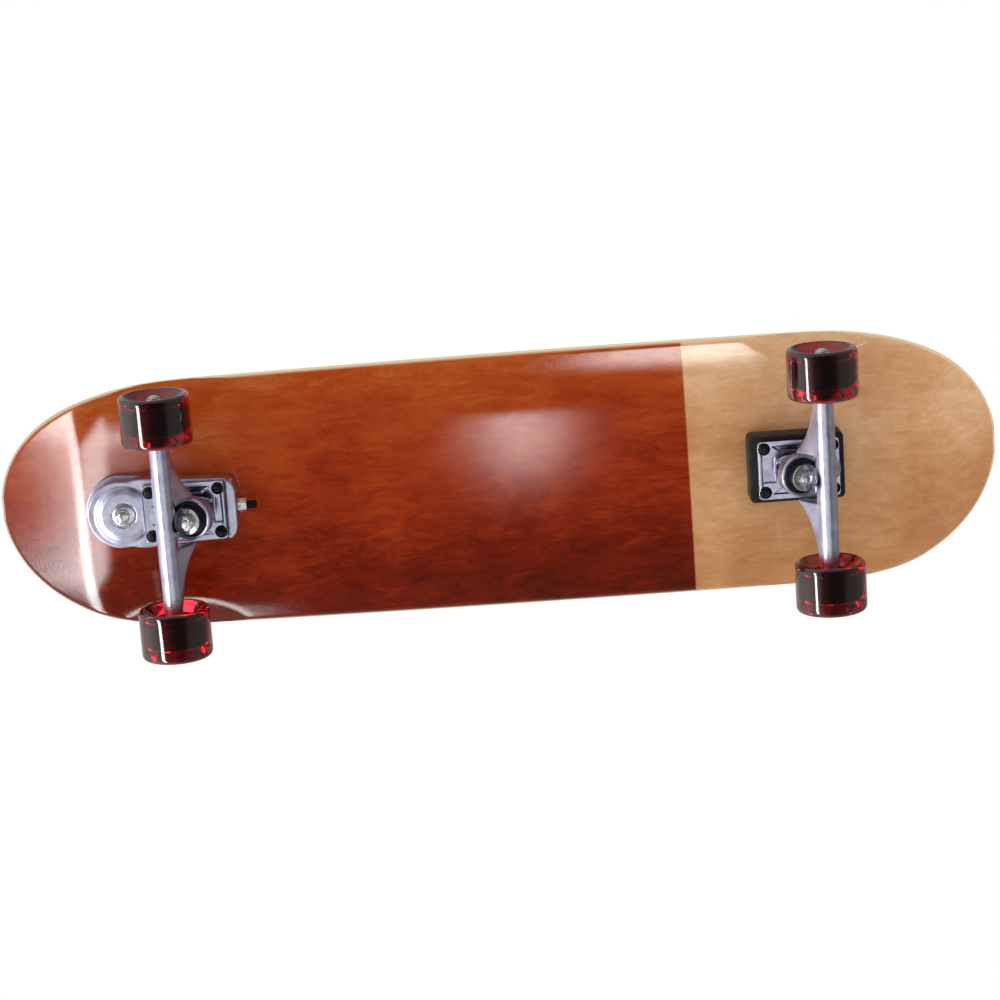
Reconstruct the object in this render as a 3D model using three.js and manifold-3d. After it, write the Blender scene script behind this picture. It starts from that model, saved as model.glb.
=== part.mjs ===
// Surf-style skateboard: a kicked maple deck, a fixed rear truck on a thick riser,
// and a front truck carried by a spring-centred swing arm.
// Millimetres, +Z up, +X towards the nose, +Y to the rider's left.
// The origin is on the ground under the middle of the deck.

import * as THREE from 'three';
import { ConvexGeometry } from 'three/addons/geometries/ConvexGeometry.js';
import { mergeVertices } from 'three/addons/utils/BufferGeometryUtils.js';
import Module from 'manifold-3d';

const wasm = await Module();
wasm.setup();

// Driving dimensions -------------------------------------------------------------------

const GAP = 0.3; // left between pieces that touch

const WHEEL_RADIUS = 32.5;
const WHEEL_WIDTH = 46;
const WHEEL_CENTRE_Y = 99.5;
const WHEEL_SIDES = 32;
const WHEEL_CORE_RADIUS = 20.5;
const WHEEL_CORE_WIDTH = 25;
const BEARING_RADIUS = 11;
const BEARING_WIDTH = 7;

const DECK_LENGTH = 940;
const DECK_HALF_WIDTH = 121;
const DECK_THICKNESS = 11;
const DECK_UNDERSIDE = 110.5; // height of its flat middle
const DECK_END_REACH = 195; // length of each rounded end
const DECK_END_POWER = 2.6; // roundness of each end
const DECK_NOSE_TAPER = 3; // half-width lost 400 mm from the widest point
const DECK_WIDEST_X = -130;
const DECK_CONCAVE_RISE = 6;
const DECK_FLAT_HALF_WIDTH = 61;
const KICK_START = 362;
const KICK_BEND_RADIUS = 110;
const NOSE_KICK_ANGLE = THREE.MathUtils.degToRad(19);
const TAIL_KICK_ANGLE = THREE.MathUtils.degToRad(21);
const GRIP_THICKNESS = 0.8;

const WELL_HALF_LENGTH = 63;
const WELL_REACH = 26; // from the deck's edge inwards
const WELL_DEPTH = 3.5;

const FRONT_AXLE_X = 306.5;
const REAR_AXLE_X = -295;
const MOUNT_Z = 86.5; // where both trucks bolt on
const TRUCK_HEIGHT = MOUNT_Z - WHEEL_RADIUS;

const BOLT_SPACING_X = 63.5;
const BOLT_SPACING_Y = 41.3;
const BOLT_RADIUS = 2.4;
const BOLT_HOLE_RADIUS = 2.8;
const BOLT_HEAD_RADIUS = 4.6;
const BOLT_HEAD_DEPTH = 3;

const RISER_LENGTH = 88.5;
const RISER_WIDTH = 63;
const RISER_CENTRE_X = -274.5;

const PLATE_LENGTH = 76;
const PLATE_WIDTH = 55;
const PLATE_THICKNESS = 5.5;
const FRONT_PLATE_OFFSET = 13.5; // plate centre inboard of its axle
const REAR_PLATE_OFFSET = 19;

const AXLE_RADIUS = 4;
const AXLE_HALF_LENGTH = 123.8;
const HANGER_HALF_WIDTH = 86;
const HANGER_MID_RADIUS = 9.2;
const HANGER_END_RADIUS = 8.6;

const KINGPIN_LEAN = THREE.MathUtils.degToRad(15);
const KINGPIN_RADIUS = 4.75;
const CUP_WASHER_RADIUS = 12.5;
const CUP_WASHER_THICKNESS = 1.5;
const BUSHING_RADIUS = 13;
const ROAD_BUSHING_HEIGHT = 12;
const BOARD_BUSHING_HEIGHT = 14;
const RING_RADIUS = 19.5;
const RING_CUP_RADIUS = 16;
const RING_HALF_HEIGHT = 6.5;
const RING_WEB_HALF = 2;
const RING_HOLE_RADIUS = 10;
const HUB_HALF_WIDTH = 24; // of the hanger's thick middle
const NUT_RELIEF = 13; // room cut in it for the kingpin nut
const KINGPIN_HEAD_DEPTH = 6;
const KINGPIN_NUT_RADIUS = 8.25;
const KINGPIN_NUT_HEIGHT = 7;

const SWING_PIVOT_X = 350;
const SWING_BASE_DEPTH = 7; // below the deck
const ARM_TOP = DECK_UNDERSIDE - SWING_BASE_DEPTH - GAP;
const ARM_BOTTOM = MOUNT_Z + GAP;
const ARM_END_X = 245.5;
const ARM_WALL = 8.5;
const PIVOT_POST_RADIUS = 12;
const PIVOT_BOLT_RADIUS = 5;
const SPRING_RADIUS = 6;
const SPRING_INNER_RADIUS = 3.4;
const SPRING_HEIGHT = DECK_UNDERSIDE - 16;
const TENSION_BOLT_RADIUS = 3.9;
const TENSION_HOLE_RADIUS = 4.2;
const TENSION_BOLT_REACH = 18; // beyond the arm's end wall
const TENSION_NUT_RADIUS = 6.4;
const TENSION_DISC = 4;

// Finishes -----------------------------------------------------------------------------

const FINISHES = {
  maple: { color: 0x8a3c16, roughness: 0.28, metalness: 0 },
  grip: { color: 0x1b1b1c, roughness: 0.95, metalness: 0 },
  urethane: { color: 0xa01018, roughness: 0.15, metalness: 0 },
  nylon: { color: 0x121214, roughness: 0.5, metalness: 0 },
  rubber: { color: 0x1a1a1c, roughness: 0.7, metalness: 0 },
  cast: { color: 0xb9bac6, roughness: 0.35, metalness: 1 },
  chrome: { color: 0xd6d8de, roughness: 0.12, metalness: 1 },
  zinc: { color: 0xc4c4c0, roughness: 0.3, metalness: 1 },
  blackSteel: { color: 0x26262a, roughness: 0.45, metalness: 0.9 },
};

// Geometry helpers ---------------------------------------------------------------------

/** Keeps positions only, with shared vertices merged. */
function bare(geometry) {
  const copy = geometry.clone();
  copy.deleteAttribute('normal');
  copy.deleteAttribute('uv');
  return mergeVertices(copy, 1e-4);
}

/** Signed volume of a closed indexed geometry, negative when its faces point in. */
function signedVolume(geometry) {
  const position = geometry.getAttribute('position');
  const index = geometry.getIndex();
  const [a, b, c] = [0, 1, 2].map(() => new THREE.Vector3());
  let volume = 0;
  for (let i = 0; i < index.count; i += 3) {
    a.fromBufferAttribute(position, index.getX(i));
    b.fromBufferAttribute(position, index.getX(i + 1));
    c.fromBufferAttribute(position, index.getX(i + 2));
    volume += a.dot(b.cross(c)) / 6;
  }
  return volume;
}

/** Keeps positions only, and turns every face outwards. */
function outward(geometry) {
  const merged = bare(geometry);
  if (signedVolume(merged) < 0) merged.getIndex().array.reverse();
  return merged;
}

/** Turns a closed geometry into a solid that can be joined and cut. */
function solid(geometry) {
  const merged = outward(geometry);
  const triangles = Uint32Array.from(merged.getIndex().array);
  const vertices = Float32Array.from(merged.getAttribute('position').array);
  return new wasm.Manifold(
    new wasm.Mesh({ numProp: 3, vertProperties: vertices, triVerts: triangles }),
  );
}

/** Turns a solid back into a geometry. */
function geometryOf(body) {
  const mesh = body.getMesh();
  const geometry = new THREE.BufferGeometry();
  geometry.setAttribute('position', new THREE.BufferAttribute(mesh.vertProperties, 3));
  geometry.setIndex(new THREE.BufferAttribute(mesh.triVerts, 1));
  return geometry;
}

/** Cuts a list of geometries from a list of joined ones. */
function carve(joined, cuts = []) {
  const [first, ...others] = joined.map(solid);
  const whole = others.reduce((sum, body) => sum.add(body), first);
  return geometryOf(cuts.map(solid).reduce((left, body) => left.subtract(body), whole));
}

/** A cylinder or cone along +Z between two heights. */
function rod(radius, from, to, { endRadius = radius, sides = 16 } = {}) {
  const geometry = new THREE.CylinderGeometry(endRadius, radius, to - from, sides);
  return geometry.rotateX(Math.PI / 2).translate(0, 0, (from + to) / 2);
}

/** A profile of [radius, height] points turned about +Z. */
function turned(profile, sides = 16) {
  const points = profile.map(([radius, height]) => new THREE.Vector2(radius, height));
  return new THREE.LatheGeometry(points, sides).rotateX(Math.PI / 2);
}

/** A ring about +Z between two radii and two heights. */
function ring(inner, outer, from, to, sides = 16) {
  return turned([[inner, from], [outer, from], [outer, to], [inner, to], [inner, from]], sides);
}

/** A box between two corners. */
function block(low, high) {
  const size = high.map((value, i) => value - low[i]);
  const middle = high.map((value, i) => (value + low[i]) / 2);
  return new THREE.BoxGeometry(...size).translate(...middle);
}

/** A flat shape extruded from one height to another. */
function slab(shape, from, to, curveSegments = 4) {
  const options = { depth: to - from, bevelEnabled: false, curveSegments };
  return new THREE.ExtrudeGeometry(shape, options).translate(0, 0, from);
}

/** A rectangle with round corners, centred on a point. */
function roundedRectangle(length, width, corner, centreX = 0, centreY = 0) {
  const [x, y] = [length / 2, width / 2];
  const shape = new THREE.Shape();
  shape.moveTo(centreX - x + corner, centreY - y);
  shape.absarc(centreX + x - corner, centreY - y + corner, corner, -Math.PI / 2, 0);
  shape.absarc(centreX + x - corner, centreY + y - corner, corner, 0, Math.PI / 2);
  shape.absarc(centreX - x + corner, centreY + y - corner, corner, Math.PI / 2, Math.PI);
  shape.absarc(centreX - x + corner, centreY - y + corner, corner, Math.PI, Math.PI * 1.5);
  return shape;
}

/** Turns a geometry's +Z to a direction, then moves its origin to a point. */
function aimed(geometry, point, direction) {
  const up = new THREE.Vector3(0, 0, 1);
  const turn = new THREE.Quaternion().setFromUnitVectors(up, direction.clone().normalize());
  return geometry.applyQuaternion(turn).translate(point.x, point.y, point.z);
}

/** Points round a circle about a direction, between two angles from its outboard side. */
function circlePoints(centre, direction, radius, from, to, steps) {
  const reference = Math.abs(direction.y) > 0.5 ? new THREE.Vector3(0, 0, 1) : across;
  const along = reference.clone().cross(direction).normalize();
  const sideways = direction.clone().cross(along);
  return Array.from({ length: steps + 1 }, (_, i) => {
    const angle = from + ((to - from) * i) / steps;
    return centre.clone()
      .addScaledVector(along, radius * Math.cos(angle))
      .addScaledVector(sideways, radius * Math.sin(angle));
  });
}

const across = new THREE.Vector3(0, 1, 0);
const board = new THREE.Group();

/** Adds one named piece to a group. */
function add(parent, name, geometry, finish) {
  const material = new THREE.MeshStandardMaterial(FINISHES[finish]);
  const mesh = new THREE.Mesh(outward(geometry), material);
  mesh.name = name;
  parent.add(mesh);
  return mesh;
}

/** The four places of a truck's bolts about a centre. */
function boltPlaces(centreX) {
  const places = [];
  for (const x of [1, -1]) {
    for (const y of [1, -1]) {
      places.push([centreX + (x * BOLT_SPACING_X) / 2, (y * BOLT_SPACING_Y) / 2]);
    }
  }
  return places;
}

// Deck ---------------------------------------------------------------------------------

/** Half the deck's width at a station along its length. */
function deckHalfWidth(x) {
  const side = DECK_HALF_WIDTH - DECK_NOSE_TAPER * ((x - DECK_WIDEST_X) / 400) ** 2;
  const tip = DECK_LENGTH / 2 + 0.8;
  const inEnd = Math.max(0, (Math.abs(x) - tip + DECK_END_REACH) / DECK_END_REACH);
  return side * Math.sqrt(1 - inEnd ** DECK_END_POWER);
}

/** How far the kicks and the concave lift the deck above its flat middle. */
function deckLift(x, y) {
  const angle = x > 0 ? NOSE_KICK_ANGLE : TAIL_KICK_ANGLE;
  const past = Math.max(0, Math.abs(x) - KICK_START);
  const bendEnd = KICK_BEND_RADIUS * Math.sin(angle);
  const inBend = Math.min(past, bendEnd);
  const bend = KICK_BEND_RADIUS - Math.sqrt(KICK_BEND_RADIUS ** 2 - inBend ** 2);
  const straight = Math.max(0, past - bendEnd) * Math.tan(angle);
  const outside = Math.max(0, Math.abs(y) - DECK_FLAT_HALF_WIDTH);
  const edge = DECK_HALF_WIDTH - DECK_FLAT_HALF_WIDTH;
  return bend + straight + DECK_CONCAVE_RISE * (outside / edge) ** 2;
}

/** A sheet with the deck's outline and curves, between two heights above its underside. */
function deckSheet(from, to, inset = 0) {
  const sheet = new THREE.BoxGeometry(2, 2, 1, 36, 6, 1);
  const position = sheet.getAttribute('position');
  for (let i = 0; i < position.count; i += 1) {
    const x = (DECK_LENGTH / 2 - inset) * Math.sin((position.getX(i) * Math.PI) / 2);
    const halfWidth = deckHalfWidth(x) - inset;
    const y = halfWidth * Math.sin((position.getY(i) * Math.PI) / 2);
    const height = position.getZ(i) < 0 ? from : to;
    position.setXYZ(i, x, y, DECK_UNDERSIDE + height + deckLift(x, y));
  }
  return sheet;
}

/** A long shallow scoop that leaves room for a wheel at the deck's edge. */
function wheelWell(axleX, side) {
  const edge = deckHalfWidth(axleX);
  const curve = WELL_HALF_LENGTH ** 2 / WELL_DEPTH;
  const steps = 8;
  const shape = new THREE.Shape();
  for (let i = 0; i <= steps; i += 1) {
    const x = WELL_HALF_LENGTH * 1.1 * ((2 * i) / steps - 1);
    shape.lineTo(x, -(x ** 2) / curve);
  }
  shape.lineTo(WELL_HALF_LENGTH * 1.1, -14);
  shape.lineTo(-WELL_HALF_LENGTH * 1.1, -14);
  const inner = new THREE.Vector3(axleX, side * (edge - WELL_REACH), 0);
  const outer = new THREE.Vector3(axleX, side * edge, 0);
  inner.z = DECK_UNDERSIDE + deckLift(inner.x, inner.y);
  outer.z = DECK_UNDERSIDE + deckLift(outer.x, outer.y) + WELL_DEPTH;
  const slope = Math.atan2(outer.z - inner.z, WELL_REACH);
  const scoop = slab(shape, -10, WELL_REACH + 8).rotateX(Math.PI / 2 + slope);
  if (side > 0) scoop.scale(1, -1, 1);
  return scoop.translate(inner.x, inner.y, inner.z);
}

const rearMountX = REAR_AXLE_X + REAR_PLATE_OFFSET;
const frontMountX = FRONT_AXLE_X - FRONT_PLATE_OFFSET;
const deckTop = DECK_UNDERSIDE + DECK_THICKNESS;
const rearBolts = boltPlaces(rearMountX);
const wells = [FRONT_AXLE_X, REAR_AXLE_X].flatMap((x) => [wheelWell(x, 1), wheelWell(x, -1)]);
const deckHoles = rearBolts.flatMap(([x, y]) => [
  rod(BOLT_HOLE_RADIUS, DECK_UNDERSIDE - 5, deckTop + 5, { sides: 10 }).translate(x, y, 0),
  rod(BOLT_HOLE_RADIUS, deckTop - BOLT_HEAD_DEPTH - 1, deckTop + 1, {
    endRadius: BOLT_HEAD_RADIUS + 2,
    sides: 10,
  }).translate(x, y, 0),
]);
add(board, 'deck', carve([deckSheet(0, DECK_THICKNESS)], [...wells, ...deckHoles]), 'maple');

const gripBottom = DECK_THICKNESS + GAP;
const gripHoles = rearBolts.map(([x, y]) =>
  rod(BOLT_HEAD_RADIUS + 1, deckTop - 1, deckTop + 5, { sides: 10 }).translate(x, y, 0));
const grip = carve([deckSheet(gripBottom, gripBottom + GRIP_THICKNESS)], gripHoles);
add(board, 'grip_tape', grip, 'grip');

// Rear riser pad and its bolts -----------------------------------------------------------

const riserShape = roundedRectangle(RISER_LENGTH, RISER_WIDTH, 5, RISER_CENTRE_X);
const riserHoles = rearBolts.map(([x, y]) =>
  rod(BOLT_HOLE_RADIUS, MOUNT_Z - 5, DECK_UNDERSIDE + 5, { sides: 8 }).translate(x, y, 0));
const riser = slab(riserShape, MOUNT_Z + GAP, DECK_UNDERSIDE - GAP, 3);
add(board, 'rear_riser_pad', carve([riser], riserHoles), 'rubber');

/** A countersunk bolt hanging down from the height of its head's face. */
function truckBolt(headZ, endZ) {
  return turned([
    [0, endZ],
    [BOLT_RADIUS, endZ],
    [BOLT_RADIUS, headZ - BOLT_HEAD_DEPTH],
    [BOLT_HEAD_RADIUS, headZ - 0.5],
    [BOLT_HEAD_RADIUS, headZ],
    [0, headZ],
  ], 8);
}

const boltEnd = MOUNT_Z - PLATE_THICKNESS - 7;
rearBolts.forEach(([x, y], i) => {
  const bolt = truckBolt(deckTop, boltEnd).translate(x, y, 0);
  add(board, `rear_truck_bolt_${i + 1}`, bolt, 'blackSteel');
});

// Trucks ---------------------------------------------------------------------------------
// A truck is drawn with its axle above the origin of its group, its mounting face at Z = 0
// and +X pointing outboard. Heights below the face are negative.

const kingpinDown = new THREE.Vector3(Math.sin(KINGPIN_LEAN), 0, -Math.cos(KINGPIN_LEAN));
const kingpinTop = kingpinDown.clone().negate();
const roadWasherFace = new THREE.Vector3(-17.5, 0, -43);

/** A point on the kingpin's axis, so far above the road washer's outer face. */
function onKingpin(distance) {
  return roadWasherFace.clone().addScaledVector(kingpinTop, distance);
}

const roadBushingStart = CUP_WASHER_THICKNESS + GAP;
const ringStart = roadBushingStart + ROAD_BUSHING_HEIGHT + GAP;
const ringMiddle = ringStart + RING_WEB_HALF;
const boardBushingStart = ringMiddle + RING_WEB_HALF + GAP;
const boardWasherStart = boardBushingStart + BOARD_BUSHING_HEIGHT + GAP;
const seatStart = boardWasherStart + CUP_WASHER_THICKNESS + GAP;
const kingpinHead = seatStart + KINGPIN_HEAD_DEPTH;

const ringCentre = onKingpin(ringMiddle);
const pivotPoint = new THREE.Vector3(4.5, 0, -11.5);
const steerAxis = pivotPoint.clone().sub(ringCentre).normalize();
const axlePoint = new THREE.Vector3(0, 0, -TRUCK_HEIGHT);

const STEM_START = 23; // distances along the steering axis from the ring's centre
const STEM_BALL = 31.5;
const STEM_RADIUS = 5.5;
const CUP_START = 24.5;
const CUP_FLOOR = 37.4;
const CUP_END = 38.4;
const CUP_INNER = 5.9;
const CUP_OUTER = 7.6;

const SEAT_RADIUS = 12.5; // the kingpin's seat under the baseplate
const SEAT_FOOT_RADIUS = 14;
const SEAT_HEIGHT = 12;
const SOCKET_RADIUS = 11; // the pivot cup's socket under the baseplate
const PLATE_CORNER = 3;
const RIM_START = 1; // the plate's raised inboard rim
const RIM_END = 3.5;
const RIM_HEIGHT = 1.5;
const WINDOW_LENGTH = 13; // between the rim and the kingpin's seat
const WINDOW_HALF_WIDTH = 12;
const SKIN = 2; // left over the windows and pockets
const PAST = 20; // how far a cutting tool reaches beyond what it cuts
// Each side pocket's corners: inboard-edge distance, then distance from the centre line.
const SIDE_POCKET = [[13, 23], [46, 23], [43, 16.5], [22, 16.5]];
// The webs from the axle housing to the ring: station along the axle, then the edge's place
// inboard of the axle, its height above the axle and its radius.
const WEB_STATIONS = [
  [24, 19.5, 19, 5],
  [31, 15, 13.5, 5],
  [42, 10.5, 8.5, 5],
  [56, 6.5, 4.5, 5.2],
  [76, 3.2, 1.5, 6],
];

/** The plate that bolts to the board, with the kingpin's seat and the pivot's socket. */
function baseplate(offset) {
  const inboard = -offset - PLATE_LENGTH / 2;
  const rimSide = PLATE_WIDTH / 2 - PLATE_CORNER;
  const shape = roundedRectangle(PLATE_LENGTH, PLATE_WIDTH, PLATE_CORNER, -offset);
  const plate = slab(shape, -PLATE_THICKNESS, 0, 3);
  const seatCone = rod(SEAT_RADIUS, 0, SEAT_HEIGHT, { endRadius: SEAT_FOOT_RADIUS });
  const seat = aimed(seatCone, onKingpin(seatStart), kingpinTop);
  const socket = aimed(rod(SOCKET_RADIUS, CUP_START, CUP_END + SKIN), ringCentre, steerAxis);
  const rim = block(
    [inboard + RIM_START, -rimSide, -PLATE_THICKNESS - RIM_HEIGHT],
    [inboard + RIM_END, rimSide, -SKIN],
  );
  const above = block([-PLATE_LENGTH, -PLATE_WIDTH, 0], [PLATE_LENGTH, PLATE_WIDTH, PAST]);
  const holes = boltPlaces(-offset).map(([x, y]) =>
    rod(BOLT_HOLE_RADIUS, -PAST, PAST, { sides: 8 }).translate(x, y, 0));
  const windowEnd = Math.min(inboard + RIM_END + WINDOW_LENGTH, onKingpin(seatStart).x - SEAT_RADIUS - 1);
  const windows = [block(
    [inboard + RIM_END, -WINDOW_HALF_WIDTH, -PAST],
    [windowEnd, WINDOW_HALF_WIDTH, -SKIN],
  )];
  for (const side of [1, -1]) {
    const pocket = new THREE.Shape(SIDE_POCKET.map(([x, y]) => new THREE.Vector2(inboard + x, side * y)));
    windows.push(slab(pocket, -PAST, -SKIN));
  }
  const kingpinHole = rod(KINGPIN_RADIUS + GAP, -5, 40);
  const headPocket = rod(9, KINGPIN_HEAD_DEPTH, 30, { sides: 6 });
  const cupHole = rod(CUP_OUTER + GAP, 10, CUP_END + GAP);
  return carve([plate, seat, socket, rim], [
    above,
    ...holes,
    ...windows,
    aimed(kingpinHole, onKingpin(seatStart), kingpinTop),
    aimed(headPocket, onKingpin(seatStart), kingpinTop),
    aimed(cupHole, ringCentre, steerAxis),
  ]);
}

/** The webs that flare from the axle housing to the ring on one side, as a chain of hulls. */
function hangerWebs(side) {
  const sections = WEB_STATIONS.map(([y, inboard, height, radius]) => {
    const onAxle = axlePoint.clone().setY(side * y);
    const edge = new THREE.Vector3(-inboard, side * y, axlePoint.z + height);
    return [...housingRing(onAxle), ...circlePoints(edge, across, radius, 0, Math.PI * 1.75, 7)];
  });
  return sections.slice(1).map((section, i) => new ConvexGeometry([...sections[i], ...section]));
}

/** The cast hanger: axle housing, bushing ring and the stem that sits in the pivot cup. */
function hanger() {
  const housing = turned([
    [0, -HANGER_HALF_WIDTH],
    [HANGER_END_RADIUS, -HANGER_HALF_WIDTH],
    [HANGER_MID_RADIUS, -40],
    [HANGER_MID_RADIUS, 40],
    [HANGER_END_RADIUS, HANGER_HALF_WIDTH],
    [0, HANGER_HALF_WIDTH],
  ]);
  const rim = rod(RING_RADIUS, -RING_HALF_HEIGHT, RING_HALF_HEIGHT, { sides: 20 });
  const rimTop = ringCentre.clone().addScaledVector(kingpinTop, RING_HALF_HEIGHT - 1.5);
  const rimBottom = ringCentre.clone().addScaledVector(kingpinTop, 1.5 - RING_HALF_HEIGHT);
  const outboard = Math.PI / 2;
  const stemFoot = ringCentre.clone().addScaledVector(steerAxis, STEM_START);
  const hub = new ConvexGeometry([
    ...circlePoints(rimTop, kingpinTop, RING_RADIUS - 1, -outboard, outboard, 6),
    ...circlePoints(rimBottom, kingpinTop, RING_RADIUS - 0.5, -outboard, outboard, 6),
    ...circlePoints(stemFoot, steerAxis, STEM_RADIUS + 2.7, 0, Math.PI * 2, 8),
    ...housingRing(axlePoint.clone().setY(HUB_HALF_WIDTH)),
    ...housingRing(axlePoint.clone().setY(-HUB_HALF_WIDTH)),
  ]);
  const stem = turned([
    [0, STEM_START - 6],
    [STEM_RADIUS + 2.5, STEM_START - 6],
    [STEM_RADIUS, STEM_START + 1],
    [STEM_RADIUS, STEM_BALL],
    [STEM_RADIUS * 0.92, STEM_BALL + STEM_RADIUS * 0.4],
    [STEM_RADIUS * 0.6, STEM_BALL + STEM_RADIUS * 0.8],
    [0, STEM_BALL + STEM_RADIUS],
  ]);
  const bore = rod(AXLE_RADIUS + GAP, -AXLE_HALF_LENGTH, AXLE_HALF_LENGTH, { sides: 12 });
  const ringTools = [
    rod(RING_CUP_RADIUS, -PAST, -RING_WEB_HALF, { sides: 20 }),
    rod(RING_CUP_RADIUS, RING_WEB_HALF, PAST, { sides: 20 }),
    rod(RING_HOLE_RADIUS, -PAST, PAST, { sides: 20 }),
    block([-NUT_RELIEF, -HUB_HALF_WIDTH, -1.4 * PAST], [NUT_RELIEF, HUB_HALF_WIDTH, -RING_HALF_HEIGHT]),
  ];
  return carve([
    aimed(housing, axlePoint, across),
    aimed(rim, ringCentre, kingpinTop),
    hub,
    aimed(stem, ringCentre, steerAxis),
    ...hangerWebs(1),
    ...hangerWebs(-1),
  ], [
    ...ringTools.map((tool) => aimed(tool, ringCentre, kingpinTop)),
    aimed(bore, axlePoint, across),
  ]);
}

/** A ring of points on the axle housing's surface. */
function housingRing(centre) {
  return circlePoints(centre, across, HANGER_MID_RADIUS - 0.2, 0, Math.PI * 1.8, 9);
}

/** A waisted rubber bushing along the kingpin. */
function bushing(height) {
  const inner = KINGPIN_RADIUS + GAP;
  return turned([
    [inner, 0],
    [BUSHING_RADIUS, 0],
    [BUSHING_RADIUS - 0.8, height / 2],
    [BUSHING_RADIUS, height],
    [inner, height],
    [inner, 0],
  ]);
}

/** Adds one truck's pieces to a group whose +X points outboard. */
function addTruck(truck, end, offset) {
  add(truck, `${end}_baseplate`, baseplate(offset), 'chrome');
  const cup = turned([
    [0, CUP_FLOOR],
    [CUP_INNER, CUP_FLOOR - 2.5],
    [CUP_INNER, CUP_START],
    [CUP_OUTER, CUP_START],
    [CUP_OUTER, CUP_END],
    [0, CUP_END],
  ]);
  add(truck, `${end}_pivot_cup`, aimed(cup, ringCentre, steerAxis), 'nylon');
  add(truck, `${end}_hanger`, hanger(), 'cast');
  const axle = rod(AXLE_RADIUS, -AXLE_HALF_LENGTH, AXLE_HALF_LENGTH, { sides: 12 });
  add(truck, `${end}_axle`, aimed(axle, axlePoint, across), 'zinc');
  const place = (geometry, distance) => aimed(geometry, onKingpin(distance), kingpinTop);
  const kingpin = rod(KINGPIN_RADIUS, -KINGPIN_NUT_HEIGHT - 1, kingpinHead, { sides: 12 });
  add(truck, `${end}_kingpin`, place(kingpin, 0), 'zinc');
  const nutBore = rod(KINGPIN_RADIUS + GAP, -PAST, PAST, { sides: 12 });
  const nut = carve([rod(KINGPIN_NUT_RADIUS, -KINGPIN_NUT_HEIGHT, -GAP, { sides: 6 })], [nutBore]);
  add(truck, `${end}_kingpin_nut`, place(nut, 0), 'zinc');
  const washer = () => ring(KINGPIN_RADIUS + GAP, CUP_WASHER_RADIUS, 0, CUP_WASHER_THICKNESS);
  add(truck, `${end}_road_washer`, place(washer(), 0), 'zinc');
  add(truck, `${end}_board_washer`, place(washer(), boardWasherStart), 'zinc');
  add(truck, `${end}_road_bushing`, place(bushing(ROAD_BUSHING_HEIGHT), roadBushingStart), 'rubber');
  add(truck, `${end}_board_bushing`, place(bushing(BOARD_BUSHING_HEIGHT), boardBushingStart), 'rubber');
}

const rearTruck = new THREE.Group();
rearTruck.position.set(REAR_AXLE_X, 0, MOUNT_Z);
rearTruck.rotation.z = Math.PI;
board.add(rearTruck);
addTruck(rearTruck, 'rear', REAR_PLATE_OFFSET);

const frontTruck = new THREE.Group();
frontTruck.position.set(FRONT_AXLE_X, 0, MOUNT_Z);
board.add(frontTruck);
addTruck(frontTruck, 'front', FRONT_PLATE_OFFSET);

// Swing arm system -------------------------------------------------------------------------

const postEnd = DECK_UNDERSIDE - 20.5;
const bushEnd = postEnd - 2.3;
const domeBottom = DECK_UNDERSIDE - 27;
const ARM_NOSE_X = 352; // centre of the arm's round nose
const ARM_NOSE_RADIUS = 31.5;
const ARM_HALF_WIDTH = 31; // beside the truck
const ARM_WAIST_X = 318;
const ARM_SHOULDER_X = 332; // where the sides swell out round the pivot
const DOME_RADIUS = 28;
const DOME_FLAT_RADIUS = 15;
const BASE_REACH = 3; // how far the base shows beyond the arm's nose
const BASE_END_X = 292;
const PIVOT_NUT_FLANGE = 10.2;
const PIVOT_NUT_FLANGE_HEIGHT = 1.6;
const PIVOT_NUT_RADIUS = 7.2;
const PIVOT_HEAD_RADIUS = 8.5;
const PIVOT_HEAD_DEPTH = 6.2;
const PIVOT_BOLT_REACH = 7.5; // below the arm's dome
const PIVOT_NUT_DEPTH = 6;
const NUT_SEAT_DEPTH = 1.2;

/** Moves a geometry drawn about Z to the swing pivot. */
function atPivot(geometry) {
  return geometry.translate(SWING_PIVOT_X, 0, 0);
}

/** The bracket under the deck, with the hollow post that the arm turns on. */
function swingBase() {
  const shape = new THREE.Shape();
  shape.moveTo(BASE_END_X, -28);
  shape.lineTo(330, -32);
  shape.absarc(ARM_NOSE_X, 0, ARM_NOSE_RADIUS + BASE_REACH, -Math.PI / 2 + 0.15, Math.PI / 2 - 0.15);
  shape.lineTo(330, 32);
  shape.lineTo(BASE_END_X, 28);
  const top = DECK_UNDERSIDE - GAP;
  const plate = slab(shape, DECK_UNDERSIDE - SWING_BASE_DEPTH, top, 10);
  const post = rod(PIVOT_POST_RADIUS, postEnd, top, { sides: 20 });
  const hole = rod(PIVOT_BOLT_RADIUS + GAP, postEnd - PAST, top + PAST, { sides: 12 });
  const pocketFloor = DECK_UNDERSIDE - PIVOT_HEAD_DEPTH - GAP;
  const headPocket = rod(PIVOT_HEAD_RADIUS + 1, pocketFloor, top + PAST, { sides: 12 });
  return carve([plate, atPivot(post)], [atPivot(hole), atPivot(headPocket)]);
}
add(board, 'swing_base', swingBase(), 'cast');

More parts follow.
